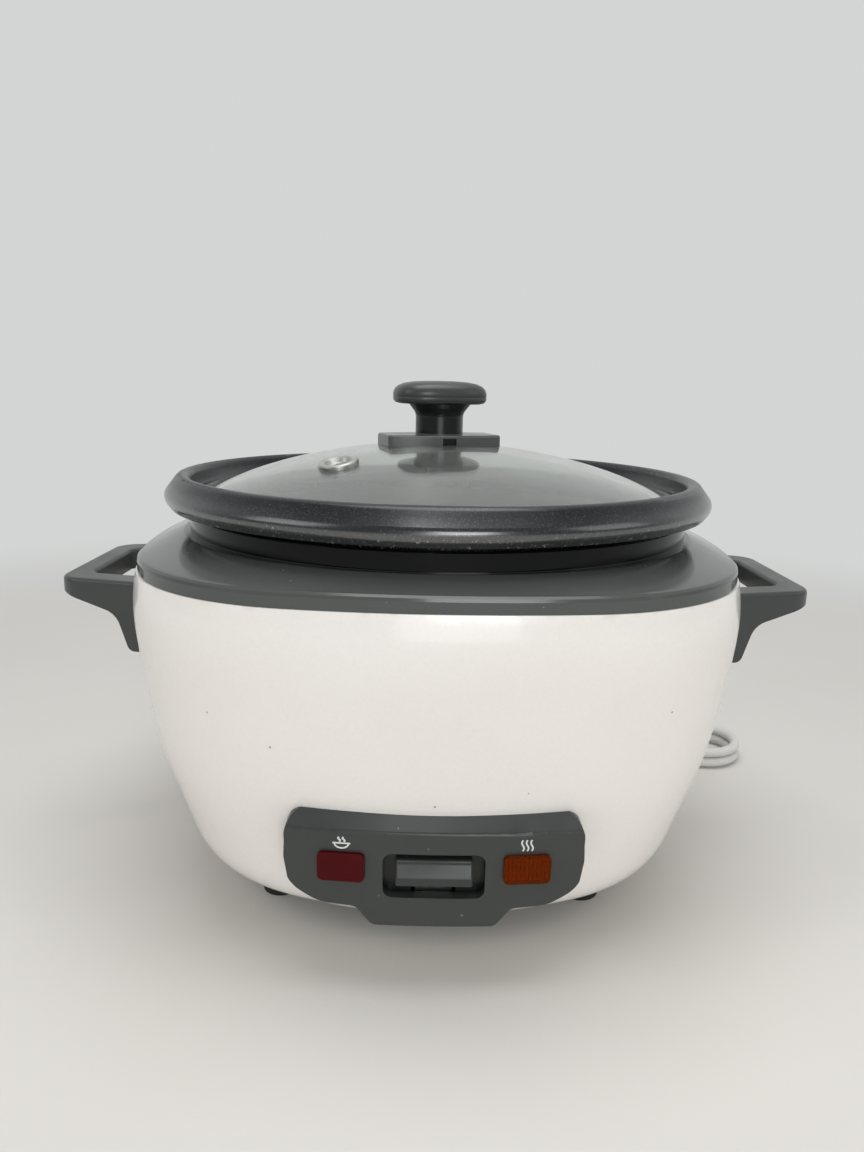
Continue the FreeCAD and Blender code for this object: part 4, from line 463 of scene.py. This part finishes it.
# sprayed non-stick on pressed aluminium: charcoal with metal flake, bare chips low on the rim
# the flakes are larger than life, where one measures 0.1 mm
nonStick = {"rim": "#242528", "bowl": "#8d8e8d", "flake": "#5e6164", "bare": "#b3aea6", "chip": 1.8,
            "flakeSize": 0.45, "flakeFrom": 0.82, "flakeShow": 0.45, "wander": 35, "smooth": 0.29,
            "dull": 0.38, "grain": 1.1, "relief": 0.10, "chipZone": (0.006, 0.013),
            "chipEdge": (0.60, 0.68), "sheenBandZone": (0.011, 0.018), "sheenBandCoat": (0.95, 0.15)}
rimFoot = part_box("pot_rim")[0].z


def nonStickCoat(name, colour, chipped):  # paint with flake in it, chipped to the metal where asked
    material, tree, shader, place = startMaterial(name, {"IOR": 1.45, "Metallic": 0.4, "Coat Weight": 0.35,
        "Coat Roughness": 0.22 if chipped else 0.32, "Coat IOR": 2.0})
    flakes = addNode(tree, "ShaderNodeTexVoronoi", {"Vector": place, "Scale": perMm(nonStick["flakeSize"])})
    flakeTone = addNode(tree, "ShaderNodeSeparateColor", {"Color": flakes.outputs["Color"]})
    flake = addNode(tree, "ShaderNodeMapRange", {"Value": flakeTone.outputs["Red"],
        "From Min": nonStick["flakeFrom"], "From Max": 1.0, "To Max": nonStick["flakeShow"]})
    body = blend(tree, flake.outputs[0], linear(colour), linear(nonStick["flake"]))
    wander = noise(tree, place, nonStick["wander"], 4)
    sheen = sheenOf(tree, wander, nonStick, noiseSpan)
    grain = noise(tree, place, nonStick["grain"], 2)
    relief = reliefOf(tree, grain, nonStick)
    colourOut = body
    if chipped:
        height = addNode(tree, "ShaderNodeSeparateXYZ", {"Vector": place})
        lowEdge = addNode(tree, "ShaderNodeMapRange", {"Value": height.outputs["Z"],
            "From Min": rimFoot + nonStick["chipZone"][0], "From Max": rimFoot + nonStick["chipZone"][1],
            "To Min": 1.0, "To Max": 0.0})
        chips = addNode(tree, "ShaderNodeTexNoise", {"Vector": place, "Scale": perMm(nonStick["chip"]),
            "Detail": 5, "Roughness": 0.65})
        chip = addNode(tree, "ShaderNodeMapRange", {"Value": chips.outputs["Fac"],
            "From Min": nonStick["chipEdge"][0], "From Max": nonStick["chipEdge"][1]})
        bare = addNode(tree, "ShaderNodeMath", {0: lowEdge.outputs[0], 1: chip.outputs[0]},
            operation="MULTIPLY")
        colourOut = blend(tree, bare.outputs[0], body, linear(nonStick["bare"]))
        # the coat is full low on the outer face and fades towards the top, a painted sheen band placed by
        # height
        zoneLow, zoneHigh = nonStick["sheenBandZone"]
        glossy, dull = nonStick["sheenBandCoat"]
        sheenBand = addNode(tree, "ShaderNodeMapRange", {"Value": height.outputs["Z"],
            "From Min": rimFoot + zoneLow, "From Max": rimFoot + zoneHigh, "To Min": glossy,
            "To Max": dull})
        tree.links.new(sheenBand.outputs[0], shader.inputs["Coat Weight"])
    connect(tree, shader, colourOut, sheen, relief)
    return material


dress(nonStickCoat("sprayed_nonstick_chipped_rim", nonStick["rim"], True), "pot_rim")
dress(nonStickCoat("sprayed_nonstick_bowl", nonStick["bowl"], False), "inner_pot")

# tempered soda-lime glass: clear, with wiped smears that soften the reflections
glass = {"colour": "#f1f5f1", "smear": 45, "span": (0.4, 0.7), "smooth": 0.01, "dull": 0.07}
lidGlass, tree, shader, place = startMaterial("tempered_soda_lime_glass",
    {"IOR": 1.52, "Transmission Weight": 0.93})
smears = noise(tree, place, glass["smear"], 5)
shader.inputs["Base Color"].default_value = linear(glass["colour"])
tree.links.new(sheenOf(tree, smears, glass, glass["span"]), shader.inputs["Roughness"])
dress(lidGlass, "lid_glass")
# blown glass of the two neon lamps: faintly yellowed, with a haze inside
lamp = {"colour": "#efe6d8", "shade": "#d8c8b2", "haze": 5, "smooth": 0.03, "dull": 0.15}
lampGlass, tree, shader, place = startMaterial("blown_neon_lamp_glass",
    {"IOR": 1.5, "Transmission Weight": 0.85})
haze = noise(tree, place, lamp["haze"], 3)
hazeTone = blend(tree, haze.outputs["Fac"], linear(lamp["colour"]), linear(lamp["shade"]))
hazeSheen = sheenOf(tree, haze, lamp)
connect(tree, shader, hazeTone, hazeSheen)
dress(lampGlass, "cook_lamp", "warm_lamp")


def tintedLens(name, look):  # moulded polycarbonate: colour in the depth, a faint shine in front
    material, tree, shader, place = startMaterial(name, {"IOR": 1.58, "Transmission Weight": look["clear"],
                                                         "Specular IOR Level": 0.05,
                                                         "Specular Tint": linear(look["glint"])})
    flow = noise(tree, place, look["flow"], 3)
    tint = blend(tree, flow.outputs["Fac"], linear(look["colour"]), linear(look["shade"]))
    sheen = sheenOf(tree, flow, look)
    connect(tree, shader, tint, sheen)
    return material


dress(tintedLens("tinted_red_polycarbonate", {"colour": "#500409", "shade": "#400307", "flow": 12,
    "clear": 0.1, "smooth": 0.12, "dull": 0.24, "glint": "#ffffff"}), "cook_lens")
dress(tintedLens("tinted_amber_polycarbonate", {"colour": "#b85008", "shade": "#983a05", "flow": 7,
    "clear": 0.85, "smooth": 0.02, "dull": 0.06, "glint": "#c86a20"}), "warm_lens")
print("glass and lenses dressed")


def workedMetal(name, look):  # sheet, wire and castings: a grey that wanders and fine lines left by the tool
    material, tree, shader, place = startMaterial(name, {"Metallic": 1.0})
    stretch = addNode(tree, "ShaderNodeMapping", {"Vector": place, "Scale": look["stretch"]})
    lines = noise(tree, stretch.outputs[0], look["line"], 3)
    cells = addNode(tree, "ShaderNodeTexVoronoi", {"Vector": place, "Scale": perMm(look["crystal"])})
    crystal = addNode(tree, "ShaderNodeSeparateColor", {"Color": cells.outputs["Color"]})
    tone = blend(tree, crystal.outputs["Red"], linear(look["colour"]), linear(look["shade"]))
    sheen = sheenOf(tree, lines, look, noiseSpan)
    relief = reliefOf(tree, lines, look)
    connect(tree, shader, tone, sheen, relief)
    return material


# rolled stainless band: bright, with faint polishing lines round the lid
stainless = workedMetal("rolled_stainless_steel", {"colour": "#d2d2cf", "shade": "#c4c4c0",
    "stretch": (1, 1, 6), "line": 1.5, "crystal": 12, "smooth": 0.16, "dull": 0.26, "relief": 0.04})
dress(stainless, "lid_rim", "sensor_cap")
# pressed satin steel of the vent
ventSteel = workedMetal("pressed_satin_steel", {"colour": "#c3c5bf", "shade": "#b4b6b0",
    "stretch": (1, 1, 1), "line": 2, "crystal": 6, "smooth": 0.34, "dull": 0.48, "relief": 0.05})
dress(ventSteel, "vent_grommet")
# hot dipped galvanised sheet: soft grey with a spangle of zinc crystals
galvanised = workedMetal("galvanised_steel_sheet", {"colour": "#b4b6b5", "shade": "#a2a5a5",
    "stretch": (1, 1, 1), "line": 3, "crystal": 9, "smooth": 0.34, "dull": 0.5, "relief": 0.06})
dress(galvanised, "base_plate", "inner_liner", "lever_bracket", "lever_arm", "sensor_housing")
# die cast aluminium, turned on its face
castAluminium = workedMetal("die_cast_aluminium", {"colour": "#b9b9b6", "shade": "#adadab",
    "stretch": (1, 1, 1), "line": 1.4, "crystal": 3, "smooth": 0.38, "dull": 0.55, "relief": 0.12})
dress(castAluminium, "heater_plate", "heating_element")
# zinc plated fasteners and wire
zincPlate = workedMetal("zinc_plated_steel", {"colour": "#c6c8c7", "shade": "#b8bab8", "stretch": (1, 1, 3),
    "line": 0.8, "crystal": 4, "smooth": 0.29, "dull": 0.42, "relief": 0.06})
dress(zincPlate, "push_rod", "lever_pin", "knob_screw",
      *["handle_screw_%d" % i for i in range(1, 5)], *["base_screw_%d" % i for i in range(1, 5)],
      *["plate_stud_%d" % i for i in range(1, 4)])
# stamped brass blades with a thin nickel flash
brass = workedMetal("stamped_plated_brass", {"colour": "#cdbb8b", "shade": "#c3ae7b", "stretch": (1, 1, 4),
    "line": 0.8, "crystal": 5, "smooth": 0.29, "dull": 0.38, "relief": 0.05})
dress(brass, "plug_blade_1", "plug_blade_2")
print("metals dressed")

# prism ribs moulded in the depth of the amber lens
ribs = {"count": 11, "radius": 0.0006, "inset": 0.0017, "depth": 0.0010}
ribTree, ribKeys, ribIn = openGroup("lens_ribs", {"Count": "Int", "Spacing": "Vector", "Radius": "Float",
                                                  "Height": "Float", "Start": "Vector", "Finish": "Material"})
ribLine = addNode(ribTree, "GeometryNodeMeshLine", {"Count": ribIn.outputs["Count"],
    "Start Location": ribIn.outputs["Start"], "Offset": ribIn.outputs["Spacing"]})
ribBar = addNode(ribTree, "GeometryNodeMeshCylinder", {"Vertices": 10, "Radius": ribIn.outputs["Radius"],
                                                       "Depth": ribIn.outputs["Height"]})
ribRow = addNode(ribTree, "GeometryNodeInstanceOnPoints", {"Points": ribLine.outputs[0],
    "Instance": ribBar.outputs["Mesh"]})
ribSolid = addNode(ribTree, "GeometryNodeRealizeInstances", {"Geometry": ribRow.outputs[0]})
ribDressed = addNode(ribTree, "GeometryNodeSetMaterial", {"Geometry": ribSolid.outputs[0],
                                                          "Material": ribIn.outputs["Finish"]})
addNode(ribTree, "NodeGroupOutput", {0: ribDressed.outputs[0]})
lensLow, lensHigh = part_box("warm_lens")
lensPoints = [v.co for v in nodes["warm_lens"].data.vertices]
lensMiddle = (lensLow.x + lensHigh.x) / 2
frontLeft = min(p.y for p in lensPoints if p.x < lensMiddle)
frontRight = min(p.y for p in lensPoints if p.x > lensHigh.x - ribs["inset"])
ribStart = Vector((lensLow.x + ribs["inset"], frontLeft + ribs["depth"], (lensLow.z + lensHigh.z) / 2))
ribEnd = Vector((lensHigh.x - ribs["inset"], frontRight + ribs["depth"], ribStart.z))
ribMaterial = tintedLens("ribbed_amber_polycarbonate", {"colour": "#c45a06", "shade": "#6e2a03", "flow": 3,
    "clear": 0.0, "smooth": 0.30, "dull": 0.45, "glint": "#c86a20"})
ribPiece = bpy.data.objects.new("lens_ribs", bpy.data.meshes.new("lens_ribs"))
scene.collection.objects.link(ribPiece)
ribModifier = ribPiece.modifiers.new("ribs", "NODES")
ribModifier.node_group = ribTree
ribModifier[ribKeys["Count"]] = ribs["count"]
ribModifier[ribKeys["Spacing"]] = (ribEnd - ribStart) / (ribs["count"] - 1)
ribModifier[ribKeys["Radius"]] = ribs["radius"]
ribModifier[ribKeys["Height"]] = lensHigh.z - lensLow.z - 2 * ribs["inset"]
ribModifier[ribKeys["Start"]] = ribStart
ribModifier[ribKeys["Finish"]] = ribMaterial
ribPiece.data = applied(ribPiece)
ribPiece.modifiers.remove(ribModifier)
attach(ribPiece, "cooker")
print("lens ribs made:", len(ribPiece.data.polygons), "faces")

# wound springs under the sensor cap and the lever
springs = {"sensor_spring": {"wire": 0.0007, "turns": 5, "joint": "sensor_travel", "give": 0.0017},
           "lever_spring": {"wire": 0.0006, "turns": 6, "joint": "lever_press", "give": 0.0030}}
springTree, springKeys, springIn = openGroup("wound_spring",
    {"Turns": "Float", "Radius": "Float", "Height": "Float", "Wire": "Float", "Foot": "Vector",
    "Finish": "Material"})
springLine = addNode(springTree, "GeometryNodeCurveSpiral", {"Resolution": 24,
    "Rotations": springIn.outputs["Turns"], "Start Radius": springIn.outputs["Radius"],
    "End Radius": springIn.outputs["Radius"], "Height": springIn.outputs["Height"]})
springWire = addNode(springTree, "GeometryNodeCurvePrimitiveCircle",
    {"Resolution": 10, "Radius": springIn.outputs["Wire"]})
springTube = addNode(springTree, "GeometryNodeCurveToMesh", {"Curve": springLine.outputs[0],
    "Profile Curve": springWire.outputs[0], "Fill Caps": True})
springSet = addNode(springTree, "GeometryNodeTransform", {"Geometry": springTube.outputs[0],
                                                          "Translation": springIn.outputs["Foot"]})
springWhole = addNode(springTree, "GeometryNodeRealizeInstances", {"Geometry": springSet.outputs[0]})
springDressed = addNode(springTree, "GeometryNodeSetMaterial", {"Geometry": springWhole.outputs[0],
                                                                "Material": springIn.outputs["Finish"]})
addNode(springTree, "NodeGroupOutput", {0: springDressed.outputs[0]})
for node, spring in springs.items():
    springLow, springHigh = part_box(node)
    middle = (springLow + springHigh) / 2
    foot = Vector((middle.x, middle.y, springLow.z + spring["wire"]))
    springPiece = bpy.data.objects.new("wound_" + node, bpy.data.meshes.new("wound_" + node))
    scene.collection.objects.link(springPiece)
    winding = springPiece.modifiers.new("winding", "NODES")
    winding.node_group = springTree
    winding[springKeys["Turns"]] = float(spring["turns"])
    winding[springKeys["Radius"]] = (springHigh.x - springLow.x) / 2 - spring["wire"]
    winding[springKeys["Height"]] = springHigh.z - springLow.z - 2 * spring["wire"]
    winding[springKeys["Wire"]] = spring["wire"]
    winding[springKeys["Foot"]] = foot
    winding[springKeys["Finish"]] = zincPlate
    springPiece.data = applied(springPiece)
    springPiece.modifiers.remove(winding)
    springPiece.data.shade_smooth()
    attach(springPiece, "cooker")
    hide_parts(node)
    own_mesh(springPiece)
    print("spring wound:", node, len(springPiece.data.polygons), "faces, height",
        round(springHigh.z - springLow.z, 4))

# pad printed signs over the lamps: a steaming bowl to cook, three waves of heat to keep warm
signs = {"stroke": 0.0007, "foot": 0.0702, "rise": 0.0050, "bowl": 0.0030, "wave": 0.0005, "gap": 0.0019,
         "steps": 14, "brim": 0.45, "overhang": 1.25, "steamFrom": 0.15, "proud": 0.00006, "thick": 0.0001}
panelMesh = nodes["control_panel"].data
panelFace = BVHTree.FromPolygons([v.co for v in panelMesh.vertices], [f.vertices for f in panelMesh.polygons])


def heatWave(x, low, high):  # one rising wave, as points across and up the panel
    steps = signs["steps"]
    return [(x + signs["wave"] * math.sin(2 * math.pi * i / steps), low + (high - low) * i / steps)
            for i in range(steps + 1)]


def bowlSign(x):  # a half round bowl with its brim, and steam over it
    depth = signs["brim"] * signs["rise"]
    brim = signs["foot"] + depth
    steps = signs["steps"]
    angles = [math.pi * (1 + i / steps) for i in range(steps + 1)]
    arc = [(x + signs["bowl"] * math.cos(angle), brim + depth * math.sin(angle)) for angle in angles]
    edge = [(x + signs["bowl"] * signs["overhang"] * (2 * i / steps - 1), brim) for i in range(steps + 1)]
    steamFoot, steamTop = brim + signs["steamFrom"] * signs["rise"], signs["foot"] + signs["rise"]
    steam = [heatWave(x + side * signs["gap"] / 2, steamFoot, steamTop) for side in (-1, 1)]
    return [arc, edge] + steam


signMesh = bmesh.new()
cookMiddle = (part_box("cook_lens")[0].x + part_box("cook_lens")[1].x) / 2
signTop = signs["foot"] + signs["rise"]
signStrokes = bowlSign(cookMiddle) + [heatWave(lensMiddle + side * signs["gap"], signs["foot"], signTop)
                                      for side in (-1, 0, 1)]
for stroke in signStrokes:
    rows = []
    for i, (x, z) in enumerate(stroke):
        before, after = stroke[max(i - 1, 0)], stroke[min(i + 1, len(stroke) - 1)]
        run = Vector((after[0] - before[0], after[1] - before[1])).normalized() * signs["stroke"] / 2
        row = []
        for offX, offZ in ((run.y, -run.x), (-run.y, run.x)):
            spot = panelFace.ray_cast(Vector((x + offX, -1, z + offZ)), Vector((0, 1, 0)))[0]
            row.append(signMesh.verts.new(spot - Vector((0, signs["proud"], 0))))
        rows.append(row)
    for (right, left), (nextRight, nextLeft) in zip(rows, rows[1:]):
        signMesh.faces.new((right, nextRight, nextLeft, left))
signData = bpy.data.meshes.new("lamp_signs")
signMesh.to_mesh(signData)
signMesh.free()
signPiece = bpy.data.objects.new("lamp_signs", signData)
scene.collection.objects.link(signPiece)
inkDepth = signPiece.modifiers.new("ink_depth", "SOLIDIFY")
inkDepth.thickness = signs["thick"]
inkDepth.offset = -1
# pad printed ink: chalky white with thin, worn spots
printedInk = mouldedPlastic("pad_printed_white_ink", {"colour": "#e8e8e4", "shade": "#c9cac6", "cloud": 1.5,
    "dustCell": 2, "dust": "#7a7c7a", "dustShow": 0.6, "smooth": 0.5, "dull": 0.65, "grain": 0.5,
    "relief": 0.1})
signData.materials.append(printedInk)
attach(signPiece, "cooker")
print("signs printed:", len(signStrokes), "strokes")

# a plain pale floor and soft light
studio = {"floorSize": 6.0, "floor": "#dcd9d4", "floorShade": "#d4d1cb", "floorCloud": 180,
          "sky": "#f4f6f8", "wall": "#d3d5d4", "room": "#5f6061", "ambient": 0.42, "near": 0.50, "far": 1.10,
          "aim": (0, 0, 0.12),
          "lamps": [("above", (0.05, -0.10, 1.50), 1.0, 12.0), ("front", (0.25, -1.55, 0.62), 0.6, 6.0),
                    ("low", (0.12, -1.50, 0.20), 0.55, 1.6), ("left", (-1.4, -0.7, 1.0), 0.9, 4.5),
                    ("right", (1.5, -0.5, 0.9), 0.9, 3.0)]}
floorMesh = bpy.data.meshes.new("floor")
half = studio["floorSize"] / 2
floorCorners = [(-half, -half, 0), (half, -half, 0), (half, half, 0), (-half, half, 0)]
floorMesh.from_pydata(floorCorners, [], [(0, 1, 2, 3)])
floorPiece = bpy.data.objects.new("floor", floorMesh)
scene.collection.objects.link(floorPiece)
floorPaint, tree, shader, place = startMaterial("matt_painted_board", {"Roughness": 0.75})
floorCloud = noise(tree, place, studio["floorCloud"], 3)
floorTone = blend(tree, floorCloud.outputs["Fac"], linear(studio["floor"]), linear(studio["floorShade"]))
tree.links.new(floorTone, shader.inputs["Base Color"])
away = addNode(tree, "ShaderNodeVectorMath", {0: place}, operation="LENGTH")  # the floor melts into the wall
fade = addNode(tree, "ShaderNodeMapRange", {"Value": away.outputs["Value"], "From Min": studio["near"],
                                            "From Max": studio["far"]}, interpolation_type="SMOOTHSTEP")
glow = addNode(tree, "ShaderNodeEmission", {"Color": linear(studio["wall"]), "Strength": 1.0})
horizon = addNode(tree, "ShaderNodeMixShader", {0: fade.outputs[0], 1: shader.outputs[0], 2: glow.outputs[0]})
addNode(tree, "ShaderNodeOutputMaterial", {"Surface": horizon.outputs[0]}).is_active_output = True
floorMesh.materials.append(floorPaint)
world = bpy.data.worlds.new("studio")
world.use_nodes = True
scene.world = world
tree = world.node_tree
tree.nodes.clear()
path = addNode(tree, "ShaderNodeLightPath")
through = addNode(tree, "ShaderNodeMath", {0: path.outputs["Is Glossy Ray"],
    1: path.outputs["Is Transmission Ray"]}, operation="MAXIMUM")
seen = addNode(tree, "ShaderNodeMath", {0: path.outputs["Is Camera Ray"], 1: through.outputs[0]},
    operation="MAXIMUM")
ambient = addNode(tree, "ShaderNodeBackground", {"Color": linear(studio["sky"]),
    "Strength": studio["ambient"]})
direction = addNode(tree, "ShaderNodeTexCoord").outputs["Generated"]
heading = addNode(tree, "ShaderNodeSeparateXYZ", {0: direction})
behind = addNode(tree, "ShaderNodeMapRange", {"Value": heading.outputs["Y"], "From Min": -0.1,
    "From Max": 0.5})
turned = addNode(tree, "ShaderNodeMath", {0: behind.outputs[0], 1: path.outputs["Is Camera Ray"]},
    operation="MAXIMUM")
# reflections find a dimmer room in front and the pale wall behind
around = blend(tree, turned.outputs[0], linear(studio["room"]), linear(studio["wall"]))
wall = addNode(tree, "ShaderNodeBackground", {"Color": around, "Strength": 1.0})
sky = addNode(tree, "ShaderNodeMixShader", {0: seen.outputs[0], 1: ambient.outputs[0], 2: wall.outputs[0]})
addNode(tree, "ShaderNodeOutputWorld", {"Surface": sky.outputs[0]})
for name, spot, size, power in studio["lamps"]:
    lampData = bpy.data.lights.new(name, "AREA")
    lampData.shape = "SQUARE"
    lampData.size = size
    lampData.energy = power
    lampObject = bpy.data.objects.new(name, lampData)
    lampObject.location = spot
    lampObject.rotation_euler = (Vector(studio["aim"]) - Vector(spot)).to_track_quat("-Z", "Y").to_euler()
    scene.collection.objects.link(lampObject)
print("floor and light set")
